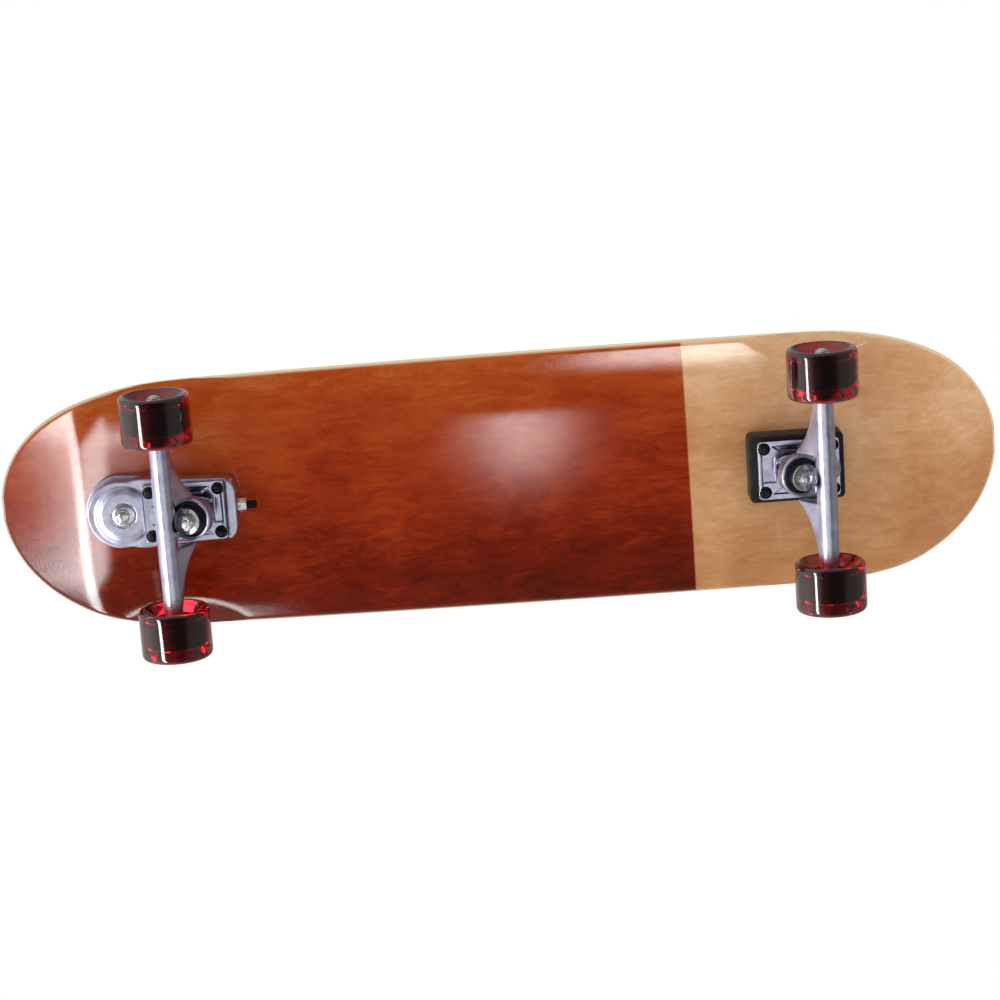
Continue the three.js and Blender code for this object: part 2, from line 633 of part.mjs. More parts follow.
/** The arm's outline, a round nose about the pivot that widens to the truck's platform. */
function armOutline() {
  const shape = new THREE.Shape();
  const corner = ARM_END_X + 14;
  const squared = ARM_HALF_WIDTH - 2.5;
  shape.moveTo(ARM_END_X, -15);
  shape.quadraticCurveTo(ARM_END_X + 1, 1.5 - squared, corner, -squared);
  shape.lineTo(ARM_WAIST_X, -ARM_HALF_WIDTH);
  shape.quadraticCurveTo(ARM_SHOULDER_X, -ARM_HALF_WIDTH - 3, 344, 1 - ARM_NOSE_RADIUS);
  shape.absarc(ARM_NOSE_X, 0, ARM_NOSE_RADIUS, -Math.PI / 2 + 0.1, Math.PI / 2 - 0.1);
  shape.quadraticCurveTo(ARM_SHOULDER_X, ARM_HALF_WIDTH + 3, ARM_WAIST_X, ARM_HALF_WIDTH);
  shape.lineTo(corner, squared);
  shape.quadraticCurveTo(ARM_END_X + 1, squared - 1.5, ARM_END_X, 15);
  return shape;
}

/** Lays a geometry drawn along +Z on the spring's line, running towards the nose. */
function onSpringLine(geometry) {
  return geometry.rotateY(Math.PI / 2).translate(0, 0, SPRING_HEIGHT);
}

/** The cast arm: platform, end wall, domed hub and the channel that holds the spring. */
function swingArm() {
  const platform = slab(armOutline(), ARM_BOTTOM, ARM_TOP, 8);
  const wallShape = new THREE.Shape();
  wallShape.moveTo(ARM_END_X, -15);
  wallShape.quadraticCurveTo(ARM_END_X + 1, -26, ARM_END_X + ARM_WALL, -28);
  wallShape.lineTo(ARM_END_X + ARM_WALL, 28);
  wallShape.quadraticCurveTo(ARM_END_X + 1, 26, ARM_END_X, 15);
  const wall = slab(wallShape, MOUNT_Z - 6, ARM_TOP, 4);
  const dome = turned([
    [0, domeBottom],
    [DOME_FLAT_RADIUS, domeBottom],
    [DOME_RADIUS, ARM_BOTTOM],
    [DOME_RADIUS, ARM_TOP - SKIN],
    [0, ARM_TOP - SKIN],
  ], 24);
  const hub = rod(PIVOT_POST_RADIUS + 0.4, bushEnd - GAP, ARM_TOP + PAST, { sides: 20 });
  const boltHole = rod(PIVOT_BOLT_RADIUS + GAP, domeBottom - PAST, ARM_TOP, { sides: 12 });
  const nutSeat = rod(PIVOT_NUT_FLANGE + 1.3, domeBottom - PAST, domeBottom + NUT_SEAT_DEPTH);
  const channelHalf = SPRING_RADIUS + 0.5;
  const channel = block(
    [ARM_END_X + ARM_WALL + 2, -channelHalf, SPRING_HEIGHT - channelHalf],
    [SWING_PIVOT_X - 5, channelHalf, ARM_TOP + PAST],
  );
  const tensionHole = rod(TENSION_HOLE_RADIUS, ARM_END_X - PAST, ARM_END_X + PAST, { sides: 12 });
  const bolts = boltPlaces(frontMountX).flatMap(([x, y]) => [
    rod(BOLT_HOLE_RADIUS, MOUNT_Z - PAST, ARM_TOP + PAST, { sides: 8 }).translate(x, y, 0),
    rod(BOLT_HEAD_RADIUS + 0.6, ARM_TOP - 4, ARM_TOP + PAST, { sides: 10 }).translate(x, y, 0),
  ]);
  const plateSeat = block(
    [ARM_END_X + ARM_WALL, -PLATE_WIDTH / 2 - 1, domeBottom - PAST],
    [frontMountX + PLATE_LENGTH / 2 + GAP, PLATE_WIDTH / 2 + 1, ARM_BOTTOM],
  );
  const cuts = [atPivot(hub), atPivot(boltHole), atPivot(nutSeat), channel];
  return carve([platform, wall, atPivot(dome)], [...cuts, onSpringLine(tensionHole), plateSeat, ...bolts]);
}
add(board, 'swing_arm', swingArm(), 'cast');

const pivotWasher = ring(PIVOT_BOLT_RADIUS + GAP, PIVOT_POST_RADIUS, bushEnd, postEnd - GAP);
add(board, 'swing_thrust_washer', atPivot(pivotWasher), 'nylon');

const pivotBolt = carve([
  rod(PIVOT_HEAD_RADIUS, DECK_UNDERSIDE - PIVOT_HEAD_DEPTH, DECK_UNDERSIDE - 1, { sides: 6 }),
  rod(PIVOT_BOLT_RADIUS, domeBottom - PIVOT_BOLT_REACH, DECK_UNDERSIDE - PIVOT_HEAD_DEPTH + 1, { sides: 12 }),
]);
add(board, 'swing_pivot_bolt', atPivot(pivotBolt), 'zinc');

const flangeTop = domeBottom + NUT_SEAT_DEPTH - GAP;
const pivotNut = carve([
  rod(PIVOT_NUT_FLANGE, flangeTop - PIVOT_NUT_FLANGE_HEIGHT, flangeTop),
  rod(PIVOT_NUT_RADIUS, domeBottom - PIVOT_NUT_DEPTH, flangeTop, { sides: 6 }),
], [
  rod(PIVOT_BOLT_RADIUS + GAP, domeBottom - PAST, DECK_UNDERSIDE, { sides: 12 }),
]);
add(board, 'swing_pivot_nut', atPivot(pivotNut), 'zinc');

const plungerTip = SWING_PIVOT_X - PIVOT_POST_RADIUS - 0.8;
const plungerFoot = plungerTip - 14;
const springFoot = ARM_END_X + ARM_WALL + 5;
const plunger = rod(SPRING_RADIUS, plungerFoot, plungerTip, { sides: 12 });
add(board, 'swing_spring_plunger', onSpringLine(plunger), 'nylon');
const spring = ring(SPRING_INNER_RADIUS, SPRING_RADIUS, springFoot + TENSION_DISC, plungerFoot - GAP, 12);
add(board, 'swing_return_spring', onSpringLine(spring), 'zinc');
const tensionBolt = carve([
  rod(TENSION_BOLT_RADIUS, ARM_END_X - TENSION_BOLT_REACH, springFoot + 1, { sides: 12 }),
  rod(SPRING_RADIUS, springFoot, springFoot + TENSION_DISC - GAP, { sides: 12 }),
]);
add(board, 'swing_tension_bolt', onSpringLine(tensionBolt), 'blackSteel');
const tensionNut = carve(
  [rod(TENSION_NUT_RADIUS, ARM_END_X - 9, ARM_END_X - GAP, { sides: 6 })],
  [rod(TENSION_HOLE_RADIUS, ARM_END_X - PAST, ARM_END_X + PAST, { sides: 12 })],
);
add(board, 'swing_tension_nut', onSpringLine(tensionNut), 'zinc');

boltPlaces(frontMountX).forEach(([x, y], i) => {
  const bolt = truckBolt(ARM_TOP - 0.5, boltEnd).translate(x, y, 0);
  add(board, `front_truck_bolt_${i + 1}`, bolt, 'blackSteel');
});

// Wheels -----------------------------------------------------------------------------------
// A wheel is drawn about +Z with its outer face up, then laid on its axle. Its radius is
// measured to its flats, so that one of them lies on the ground.

const tyreRadius = WHEEL_RADIUS / Math.cos(Math.PI / WHEEL_SIDES);
const coreHalf = WHEEL_CORE_WIDTH / 2;
const halfWidth = WHEEL_WIDTH / 2;

/** The urethane tyre, cast round its core with a rounded lip at each edge. */
function tyre() {
  const inner = WHEEL_CORE_RADIUS + GAP;
  const halfProfile = [
    [inner, coreHalf - 0.5],
    [26.5, halfWidth - 1.2],
    [28.3, halfWidth],
    [tyreRadius - 1.4, halfWidth - 1.4],
    [tyreRadius, halfWidth - 4.5],
  ];
  const mirrored = halfProfile.map(([radius, height]) => [radius, -height]).reverse();
  const profile = [...halfProfile, ...mirrored, halfProfile[0]];
  return turned(profile, WHEEL_SIDES).rotateZ(Math.PI / 2 + Math.PI / WHEEL_SIDES);
}

/** The moulded core, with a seat for a bearing on each side. */
function wheelCore() {
  const seat = BEARING_RADIUS + GAP;
  const seatFloor = coreHalf - BEARING_WIDTH - GAP;
  return turned([
    [8.5, -seatFloor],
    [seat, -seatFloor],
    [seat, -coreHalf],
    [WHEEL_CORE_RADIUS, -coreHalf],
    [WHEEL_CORE_RADIUS, coreHalf],
    [seat, coreHalf],
    [seat, seatFloor],
    [8.5, seatFloor],
    [8.5, -seatFloor],
  ], 20);
}

/** Adds one wheel, its bearings and its axle nut. */
function addWheel(name, axleX, side) {
  const wheel = new THREE.Group();
  wheel.position.set(axleX, side * WHEEL_CENTRE_Y, WHEEL_RADIUS);
  wheel.rotation.x = (-side * Math.PI) / 2;
  board.add(wheel);
  add(wheel, `${name}_tyre`, tyre(), 'urethane');
  add(wheel, `${name}_core`, wheelCore(), 'nylon');
  const bearing = (from) => ring(AXLE_RADIUS + GAP, BEARING_RADIUS, from, from + BEARING_WIDTH);
  add(wheel, `${name}_bearing_outer`, bearing(coreHalf - BEARING_WIDTH), 'zinc');
  add(wheel, `${name}_bearing_inner`, bearing(-coreHalf), 'zinc');
  const nut = carve(
    [rod(7.5, coreHalf + 1.2, coreHalf + 9, { sides: 6 })],
    [rod(AXLE_RADIUS + GAP, 0, 40, { sides: 12 })],
  );
  add(wheel, `${name}_axle_nut`, nut, 'zinc');
}

for (const [end, axleX] of [['front', FRONT_AXLE_X], ['rear', REAR_AXLE_X]]) {
  addWheel(`${end}_left`, axleX, 1);
  addWheel(`${end}_right`, axleX, -1);
}

export default board;
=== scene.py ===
"""Looks of a surf-style skateboard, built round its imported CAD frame.

Shapes are worked out in millimetres and turned to metres when a mesh is made.
+X is the nose, +Y the rider's left, +Z up, and the wheels stand at height 0.
"""
import math
import re

import bmesh
import bpy
import numpy as np
from mathutils import Matrix, Vector


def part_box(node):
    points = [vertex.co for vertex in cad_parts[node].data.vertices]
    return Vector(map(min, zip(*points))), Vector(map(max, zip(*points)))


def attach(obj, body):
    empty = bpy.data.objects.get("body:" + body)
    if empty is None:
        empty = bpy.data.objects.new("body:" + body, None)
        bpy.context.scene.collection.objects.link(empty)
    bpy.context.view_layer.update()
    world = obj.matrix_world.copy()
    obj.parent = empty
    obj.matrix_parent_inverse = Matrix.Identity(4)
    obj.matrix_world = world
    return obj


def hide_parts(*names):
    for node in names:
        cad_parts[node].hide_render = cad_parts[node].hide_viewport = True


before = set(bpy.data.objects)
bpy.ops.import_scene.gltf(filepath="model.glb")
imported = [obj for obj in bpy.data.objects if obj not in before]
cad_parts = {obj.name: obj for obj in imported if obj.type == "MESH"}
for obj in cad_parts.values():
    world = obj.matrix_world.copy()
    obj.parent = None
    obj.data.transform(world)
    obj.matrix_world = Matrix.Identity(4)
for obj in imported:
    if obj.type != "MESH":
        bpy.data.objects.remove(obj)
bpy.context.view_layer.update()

MM = 0.001
GAP = 0.3
UP = Vector((0, 0, 1))
ACROSS = Vector((0, 1, 0))
NOSEWARD = Vector((1, 0, 0))
ENDS = ("front", "rear")
SIDES = {"left": 1, "right": -1}


# ---------------------------------------------------------------- places read from the frame

def low(node):
    return Vector(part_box(node)[0]) / MM


def high(node):
    return Vector(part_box(node)[1]) / MM


def middle(node):
    return (low(node) + high(node)) / 2


DECK_LENGTH = high("deck").x - low("deck").x
UNDERSIDE = high("swing_base").z + GAP
AXLE_X = {end: middle(f"{end}_axle").x for end in ENDS}
AXLE_Z = middle("front_axle").z
MOUNT_Z = high("front_baseplate").z
PIVOT_X = middle("swing_pivot_bolt").x
ARM_TOP = high("swing_arm").z
ARM_END_X = low("swing_arm").x
SPRING_Z = middle("swing_return_spring").z
TRUCK_PLACE = {
    "front": Matrix.Translation((AXLE_X["front"], 0, MOUNT_Z)),
    "rear": Matrix.Translation((AXLE_X["rear"], 0, MOUNT_Z)) @ Matrix.Rotation(math.pi, 4, "Z"),
}


# ---------------------------------------------------------------- shapes: (points, faces) in mm

def turned(profile, steps=64, ring=False, flats=None):
    """Turned about +Z from (radius, height) points, open at the axis or closed as a ring.

    flats is half the distance across a hexagon's flats, which then limits every radius.
    """
    points, rows = [], []
    for radius, height in profile:
        if radius < 1e-6:
            rows.append([len(points)] * steps)
            points.append(Vector((0, 0, height)))
            continue
        rows.append(list(range(len(points), len(points) + steps)))
        for i in range(steps):
            angle = 2 * math.pi * i / steps
            from_flat = (angle + math.pi / 6) % (math.pi / 3) - math.pi / 6
            reach = min(radius, flats / math.cos(from_flat)) if flats else radius
            points.append(Vector((reach * math.cos(angle), reach * math.sin(angle), height)))
    pairs = list(zip(rows, rows[1:]))
    if ring:
        pairs.append((rows[-1], rows[0]))
    faces = []
    for first, second in pairs:
        for i in range(steps):
            after = (i + 1) % steps
            corners = [first[i], first[after], second[after], second[i]]
            face = list(dict.fromkeys(corners))
            if len(face) > 2:
                faces.append(face)
    return points, faces


def rod(radius, start, end, end_radius=None, steps=64):
    last = radius if end_radius is None else end_radius
    return turned([(0, start), (radius, start), (last, end), (0, end)], steps)


def slab(outline, bottom, top):
    """An outline of (x, y) points between two heights."""
    count = len(outline)
    points = [Vector((x, y, z)) for z in (bottom, top) for x, y in outline]
    walls = [[i, (i + 1) % count, count + (i + 1) % count, count + i] for i in range(count)]
    return points, [list(range(count))[::-1], list(range(count, 2 * count))] + walls


def block(corner, opposite):
    (x0, y0, z0), (x1, y1, z1) = corner, opposite
    return slab([(x0, y0), (x1, y0), (x1, y1), (x0, y1)], z0, z1)


def hull(points):
    """The tightest skin round a set of points."""
    work = bmesh.new()
    for point in points:
        work.verts.new(point)
    bmesh.ops.convex_hull(work, input=work.verts)
    bmesh.ops.delete(work, geom=[v for v in work.verts if not v.link_faces], context="VERTS")
    work.verts.index_update()
    shape = [v.co.copy() for v in work.verts], [[v.index for v in f.verts] for f in work.faces]
    work.free()
    return shape


def swept(path, radius, sides=10):
    """A round wire along a path of points."""
    points, faces = [], []
    last = len(path) - 1
    for i, place in enumerate(path):
        along = (path[min(i + 1, last)] - path[max(i - 1, 0)]).normalized()
        side = along.cross(NOSEWARD).normalized()
        other = along.cross(side)
        for k in range(sides):
            angle = 2 * math.pi * k / sides
            points.append(place + radius * (math.cos(angle) * side + math.sin(angle) * other))
    for i in range(last):
        for k in range(sides):
            after = (k + 1) % sides
            faces.append([i * sides + k, i * sides + after, (i + 1) * sides + after, (i + 1) * sides + k])
    faces.append(list(range(sides))[::-1])
    faces.append([last * sides + k for k in range(sides)])
    return points, faces


def placed(shape, place):
    """The shape moved by a matrix."""
    points, faces = shape
    return [place @ p for p in points], faces


def aimed(shape, point, direction):
    """The shape with its +Z turned to a direction and its origin at a point."""
    turn = UP.rotation_difference(Vector(direction)).to_matrix().to_4x4()
    return placed(shape, Matrix.Translation(Vector(point)) @ turn)


def at(shape, x=0.0, y=0.0, z=0.0):
    return placed(shape, Matrix.Translation((x, y, z)))


def joined(*shapes):
    points, faces = [], []
    for some_points, some_faces in shapes:
        start = len(points)
        points += some_points
        faces += [[start + i for i in face] for face in some_faces]
    return points, faces


def arc(centre, radius, start, end, steps=24):
    """(x, y) points along an arc, angles in degrees."""
    angles = [math.radians(start + (end - start) * i / steps) for i in range(steps + 1)]
    return [(centre[0] + radius * math.cos(a), centre[1] + radius * math.sin(a)) for a in angles]


def bend(start, control, end, steps=10):
    """(x, y) points along a quadratic curve, without its start."""
    curve = []
    for i in range(1, steps + 1):
        t = i / steps
        weights = ((1 - t) ** 2, 2 * t * (1 - t), t * t)
        curve.append(tuple(sum(w * p[k] for w, p in zip(weights, (start, control, end))) for k in (0, 1)))
    return curve


def mirrored(half):
    """(a, b) points followed by the same points with b reversed in sign."""
    return half + [(a, -b) for a, b in reversed(half)]


def rounded_rectangle(length, width, radius, centre=0.0):
    x, y = length / 2 - radius, width / 2 - radius
    corners = [((x, y), 0), ((-x, y), 90), ((-x, -y), 180), ((x, -y), 270)]
    return [p for (cx, cy), a in corners for p in arc((centre + cx, cy), radius, a, a + 90, 8)]


def threads(radius, start, end, pitch=0.8):
    """Profile points of a screw thread, drawn as rings, from one height to another."""
    turns = max(1, round(abs(end - start) / pitch))
    step = (end - start) / turns
    profile = []
    for i in range(turns):
        profile += [(radius, start + step * (i + 0.25)), (radius - 0.35 * pitch, start + step * (i + 0.75))]
    return profile


def circle(centre, direction, radius, steps=32, start=0.0, end=360.0):
    """Points round a direction; 0 degrees points along the direction's own +X."""
    turn = UP.rotation_difference(Vector(direction))
    angles = [math.radians(start + (end - start) * i / steps) for i in range(steps + 1)]
    return [Vector(centre) + turn @ Vector((radius * math.cos(a), radius * math.sin(a), 0)) for a in angles]


# ---------------------------------------------------------------- meshes and pieces

def raw(name, shape):
    """A linked object with the shape's mesh in metres, faces outwards."""
    points, faces = shape
    mesh = bpy.data.meshes.new(name)
    mesh.from_pydata([p * MM for p in points], [], faces)
    work = bmesh.new()
    work.from_mesh(mesh)
    bmesh.ops.recalc_face_normals(work, faces=work.faces)
    work.to_mesh(mesh)
    work.free()
    obj = bpy.data.objects.new(name, mesh)
    bpy.context.scene.collection.objects.link(obj)
    return obj


def settle(obj):
    """Applies the object's modifiers."""
    graph = bpy.context.evaluated_depsgraph_get()
    mesh = bpy.data.meshes.new_from_object(obj.evaluated_get(graph))
    obj.modifiers.clear()
    obj.data = mesh


def taken(obj):
    """The object's shape back in millimetres; the object goes."""
    points = [v.co / MM for v in obj.data.vertices]
    faces = [list(p.vertices) for p in obj.data.polygons]
    bpy.data.objects.remove(obj)
    return points, faces


def cut(shape, tools):
    """The shape with each tool's shape taken out of it."""
    body = raw("work", shape)
    cutters = [raw("tool", tool) for tool in tools]
    for cutter in cutters:
        step = body.modifiers.new("cut", "BOOLEAN")
        step.object = cutter
        step.solver = "EXACT"
    settle(body)
    for cutter in cutters:
        bpy.data.objects.remove(cutter)
    return taken(body)


def cast(solids, tools, skin=0.6, relax=5):
    """Solids joined and cut, then given one skin with edges as soft as a tumbled casting's."""
    body = raw("work", joined(*[cut(solid, tools) for solid in solids]))
    remesh = body.modifiers.new("skin", "REMESH")
    remesh.mode = "VOXEL"
    remesh.voxel_size = skin * MM
    smooth = body.modifiers.new("relax", "SMOOTH")
    smooth.factor = 0.5
    smooth.iterations = relax
    settle(body)
    return taken(body)


def piece(name, body, slot, shape, replaces=(), edge=0.0, sharp=38):
    """A visible piece: rides on its body, stands for CAD nodes and wears its slot's material."""
    obj = raw(name, shape)
    obj.data.materials.append(MATERIALS[slot])
    if edge:
        rounding = obj.modifiers.new("edges", "BEVEL")
        rounding.width = edge * MM
        rounding.segments = 2
        rounding.limit_method = "ANGLE"
        rounding.angle_limit = math.radians(35)
        settle(obj)
    obj.data.shade_smooth()
    obj.data.set_sharp_from_angle(angle=math.radians(sharp))
    if replaces:
        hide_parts(*replaces)
    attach(obj, body)
    return obj


# ---------------------------------------------------------------- materials

def linear(code):
    """An sRGB hex colour as the linear RGBA that shaders take."""
    levels = [int(code[i:i + 2], 16) / 255 for i in (1, 3, 5)]
    return tuple(v / 12.92 if v <= 0.04045 else ((v + 0.055) / 1.055) ** 2.4 for v in levels) + (1.0,)


def per_mm(size):
    """The texture scale, per metre, of a pattern whose features are this many millimetres."""
    return 1000 / size


def add(tree, kind, settings=None, links=None, stops=None):
    """Adds a node. settings are its inputs' values or its own properties, links its inputs' sources."""
    made = tree.nodes.new(kind)
    for name, value in (settings or {}).items():
        if isinstance(name, str) and hasattr(made, name):
            setattr(made, name, value)
        else:
            made.inputs[name].default_value = value
    for name, source in (links or {}).items():
        tree.links.new(source, made.inputs[name])
    if stops:
        ramp = made.color_ramp.elements
        while len(ramp) < len(stops):
            ramp.new(0.5)
        for element, (place, colour) in zip(ramp, stops):
            element.position = place
            element.color = linear(colour) if isinstance(colour, str) else (colour,) * 3 + (1.0,)
    return made


def new_material(name, settings):
    """A material with its main shader set up and its pattern coordinates, in metres on the piece."""
    material = bpy.data.materials.new(name)
    material.use_nodes = True
    tree = material.node_tree
    shader = tree.nodes["Principled BSDF"]
    for socket, value in settings.items():
        shader.inputs[socket].default_value = value
    where = add(tree, "ShaderNodeTexCoord").outputs["Object"]
    return material, tree, shader, where


def stained_lacquered_maple():
    """Rotary-cut maple veneer under a wiped red-brown stain and a poured gloss lacquer.

    The veneer gives faint wavy figure along the board, the wiped stain its clouds, the lacquer a deep wet
    shine with slight orange peel, and the bare tail the veneer's own honey colour. Painted light makes the
    colour lighter towards the rider's left edge, and the stain also towards the nose.
    """
    material, tree, shader, where = new_material("stained lacquered maple", {
        "Roughness": 0.5, "Specular IOR Level": 0.0, "Coat Weight": 1.0, "Coat Roughness": 0.07})
    link = tree.links.new
    along = add(tree, "ShaderNodeMapping", {"Scale": (0.3, 1.0, 1.0)}, {"Vector": where})
    vector = {"Vector": along.outputs["Vector"]}
    figure = add(tree, "ShaderNodeTexNoise", {
        "Scale": per_mm(13), "Detail": 5.0, "Roughness": 0.65, "Distortion": 1.2}, vector)
    grain = add(tree, "ShaderNodeTexNoise", {
        "Scale": per_mm(2.6), "Detail": 3.0, "Roughness": 0.6, "Distortion": 0.8}, vector)
    clouds = add(tree, "ShaderNodeTexNoise", {"Scale": per_mm(120), "Detail": 5.0, "Roughness": 0.6},
                 {"Vector": where})
    xyz = add(tree, "ShaderNodeSeparateXYZ", {}, {0: where})
    # Painted light: the stain's colour is made lighter towards the rider's left edge and, a little, towards
    # the nose, as if lit from there.
    level = add(tree, "ShaderNodeMath", {"operation": "MULTIPLY_ADD", 1: 2.4, 2: -0.13},
                {0: xyz.outputs["Y"]})
    level = add(tree, "ShaderNodeMath", {"operation": "MULTIPLY_ADD", 1: 0.1},
                {0: xyz.outputs["X"], 2: level.outputs[0]})
    for pattern, weight in ((clouds, 0.5), (figure, 0.52), (grain, 0.22)):
        level = add(tree, "ShaderNodeMath", {"operation": "MULTIPLY_ADD", 1: weight},
                    {0: pattern.outputs[0], 2: level.outputs[0]})
    stain = add(tree, "ShaderNodeValToRGB", links={0: level.outputs[0]}, stops=[
        (0.1, "#480f03"), (0.33, "#6f1b06"), (0.52, "#932e0c"), (0.72, "#a64515"), (0.95, "#b96430")])
    bare_level = add(tree, "ShaderNodeMath", {"operation": "MULTIPLY", 1: 0.24}, {0: figure.outputs[0]})
    for pattern, weight in ((grain, 0.12), (clouds, 0.64)):
        bare_level = add(tree, "ShaderNodeMath", {"operation": "MULTIPLY_ADD", 1: weight},
                         {0: pattern.outputs[0], 2: bare_level.outputs[0]})
    # Painted light: the bare tail is made lighter towards the rider's left edge as well.
    bare_level = add(tree, "ShaderNodeMath", {"operation": "MULTIPLY_ADD", 1: 0.9},
                     {0: xyz.outputs["Y"], 2: bare_level.outputs[0]})
    bare = add(tree, "ShaderNodeValToRGB", links={0: bare_level.outputs[0]}, stops=[
        (0.3, "#ab7045"), (0.45, "#c18a5a"), (0.56, "#d3a072"), (0.7, "#e6bd95")])
    # The stain stops at a masked line, a little out of square.
    skew = add(tree, "ShaderNodeMath", {"operation": "MULTIPLY_ADD", 1: -0.01, 2: STAIN_END},
               {0: xyz.outputs["Y"]})
    past = add(tree, "ShaderNodeMath", {"operation": "ADD"}, {0: xyz.outputs["X"], 1: skew.outputs[0]})
    stained = add(tree, "ShaderNodeMapRange", {"From Min": -0.0008, "From Max": 0.0008},
                  {"Value": past.outputs[0]})
    face = add(tree, "ShaderNodeMixRGB", {}, {
        0: stained.outputs[0], 1: bare.outputs[0], 2: stain.outputs[0]})
    # Seven plies show as pale and tan lines on the deck's edge.
    depth = add(tree, "ShaderNodeAttribute", {"attribute_name": "ply_depth"})
    plies = add(tree, "ShaderNodeMath", {"operation": "MULTIPLY", 1: PLIES * math.pi},
                {0: depth.outputs["Fac"]})
    plies = add(tree, "ShaderNodeMath", {"operation": "SINE"}, {0: plies.outputs[0]})
    plies = add(tree, "ShaderNodeMath", {"operation": "ABSOLUTE"}, {0: plies.outputs[0]})
    ply_colour = add(tree, "ShaderNodeValToRGB", links={0: plies.outputs[0]}, stops=[
        (0.1, "#8d6238"), (0.35, "#dcc39a"), (1.0, "#ead7b3")])
    normal = add(tree, "ShaderNodeNewGeometry")
    upright = add(tree, "ShaderNodeSeparateXYZ", {}, {0: normal.outputs["True Normal"]})
    level_out = add(tree, "ShaderNodeMath", {"operation": "ABSOLUTE"}, {0: upright.outputs["Z"]})
    on_face = add(tree, "ShaderNodeMapRange", {"From Min": 0.62, "From Max": 0.8},
                  {"Value": level_out.outputs[0]})
    colour = add(tree, "ShaderNodeMixRGB", {}, {
        0: on_face.outputs[0], 1: ply_colour.outputs[0], 2: face.outputs[0]})
    link(colour.outputs[0], shader.inputs["Base Color"])
    relief = add(tree, "ShaderNodeBump", {"Strength": 0.10, "Distance": 0.0002},
                 {"Height": grain.outputs[0]})
    link(relief.outputs[0], shader.inputs["Normal"])
    peel = add(tree, "ShaderNodeTexNoise", {"Scale": per_mm(1.5), "Detail": 2.0, "Roughness": 0.5},
               {"Vector": where})
    wave = add(tree, "ShaderNodeBump", {"Strength": 0.3, "Distance": 0.0002}, {"Height": peel.outputs[0]})
    link(wave.outputs[0], shader.inputs["Coat Normal"])
    return material


def silicon_carbide_grip():
    """Black grip tape: grit glued on film, matt with scattered bright facets.

    Real grit is about 0.3 mm, drawn at 0.9 mm so that it shows.
    """
    material, tree, shader, where = new_material("silicon carbide grip tape", {
        "Roughness": 0.85, "Specular IOR Level": 0.35})
    grit = add(tree, "ShaderNodeTexVoronoi", {"Scale": per_mm(0.9)}, {"Vector": where})
    wear = add(tree, "ShaderNodeTexNoise", {"Scale": per_mm(60), "Detail": 4.0}, {"Vector": where})
    tone = add(tree, "ShaderNodeValToRGB", links={0: grit.outputs["Distance"]}, stops=[
        (0.05, "#4b4b4e"), (0.2, "#262628"), (0.6, "#151516")])
    dust = add(tree, "ShaderNodeValToRGB", links={0: wear.outputs[0]}, stops=[(0.4, 0.85), (0.7, 1.25)])
    colour = add(tree, "ShaderNodeMixRGB", {"blend_type": "MULTIPLY", 0: 1.0}, {
        1: tone.outputs[0], 2: dust.outputs[0]})
    bump = add(tree, "ShaderNodeBump", {"Strength": 0.8, "Distance": 0.0004, "invert": True}, {
        "Height": grit.outputs["Distance"]})
    tree.links.new(colour.outputs[0], shader.inputs["Base Color"])
    tree.links.new(bump.outputs[0], shader.inputs["Normal"])
    return material


def dress(tree, shader, tone, rough, relief):
    """Links the patterns that give a material its colour, its shine and its relief."""
    for pattern, socket in ((tone, "Base Color"), (rough, "Roughness"), (relief, "Normal")):
        tree.links.new(pattern.outputs[0], shader.inputs[socket])


def worked_surface(name, settings, tones, roughness, spread, clouds, fine, strength):
    """A surface whose tone and roughness wander a little, over a fine relief."""
    material, tree, shader, where = new_material(name, settings)
    cloud = add(tree, "ShaderNodeTexNoise", clouds, {"Vector": where})
    tone = add(tree, "ShaderNodeValToRGB", links={0: cloud.outputs[0]}, stops=[
        (0.35, tones[0]), (0.65, tones[1])])
    rough = add(tree, "ShaderNodeMapRange", {
        "From Min": 0.3, "From Max": 0.7, "To Min": roughness - spread, "To Max": roughness + spread},
        {"Value": cloud.outputs[0]})
    fine = add(tree, "ShaderNodeTexNoise", fine, {"Vector": where})
    relief = add(tree, "ShaderNodeBump", {"Strength": strength, "Distance": 0.0003},
                 {"Height": fine.outputs[0]})
    dress(tree, shader, tone, rough, relief)
    return material


def worked_metal(name, dark, light, roughness, spread, bump_size, bump_strength):
    """A bare or plated metal over a fine surface relief."""
    return worked_surface(name, {"Metallic": 1.0}, (dark, light), roughness, spread,
                          {"Scale": per_mm(14), "Detail": 6.0, "Roughness": 0.65},
                          {"Scale": per_mm(bump_size), "Detail": 3.0}, bump_strength)


def tumbled_cast_aluminium():
    """Die-cast aluminium, tumbled bright: satin with soft dimples 3 mm across and a cool grey tone."""
    return worked_metal("tumbled cast aluminium", "#adadc4", "#cdcddf", 0.35, 0.06, 3.0, 0.08)


def chrome_plate():
    """Chromium plate over a cast plate: near mirror, with faint haze from handling."""
    return worked_metal("chrome plated casting", "#9a9aae", "#bcbccc", 0.15, 0.06, 5.0, 0.05)


def zinc_plated_steel():
    """Bright zinc plate on turned steel: a neutral grey with soft spangle."""
    return worked_metal("zinc plated steel", "#b9b9bb", "#d6d6d8", 0.26, 0.07, 0.8, 0.06)


def black_oxide_steel():
    """Black oxide on cut steel: near black metal with a dull oily shine. On the baseplate nuts it stands in
    as painted shade.
    """
    return worked_metal("black oxide steel", "#222225", "#38383c", 0.38, 0.08, 0.7, 0.15)


def moulded_black(name, dark, light, roughness, texture_size, strength):
    """A black moulding with fine mould texture and slightly uneven shine."""
    return worked_surface(name, {}, (dark, light), roughness, 0.07,
                          {"Scale": per_mm(10), "Detail": 5.0},
                          {"Scale": per_mm(texture_size), "Detail": 2.0}, strength)


def moulded_riser_rubber():
    """Compression-moulded hard rubber: deep satin black."""
    return moulded_black("moulded riser rubber", "#101011", "#1b1b1d", 0.5, 0.9, 0.2)


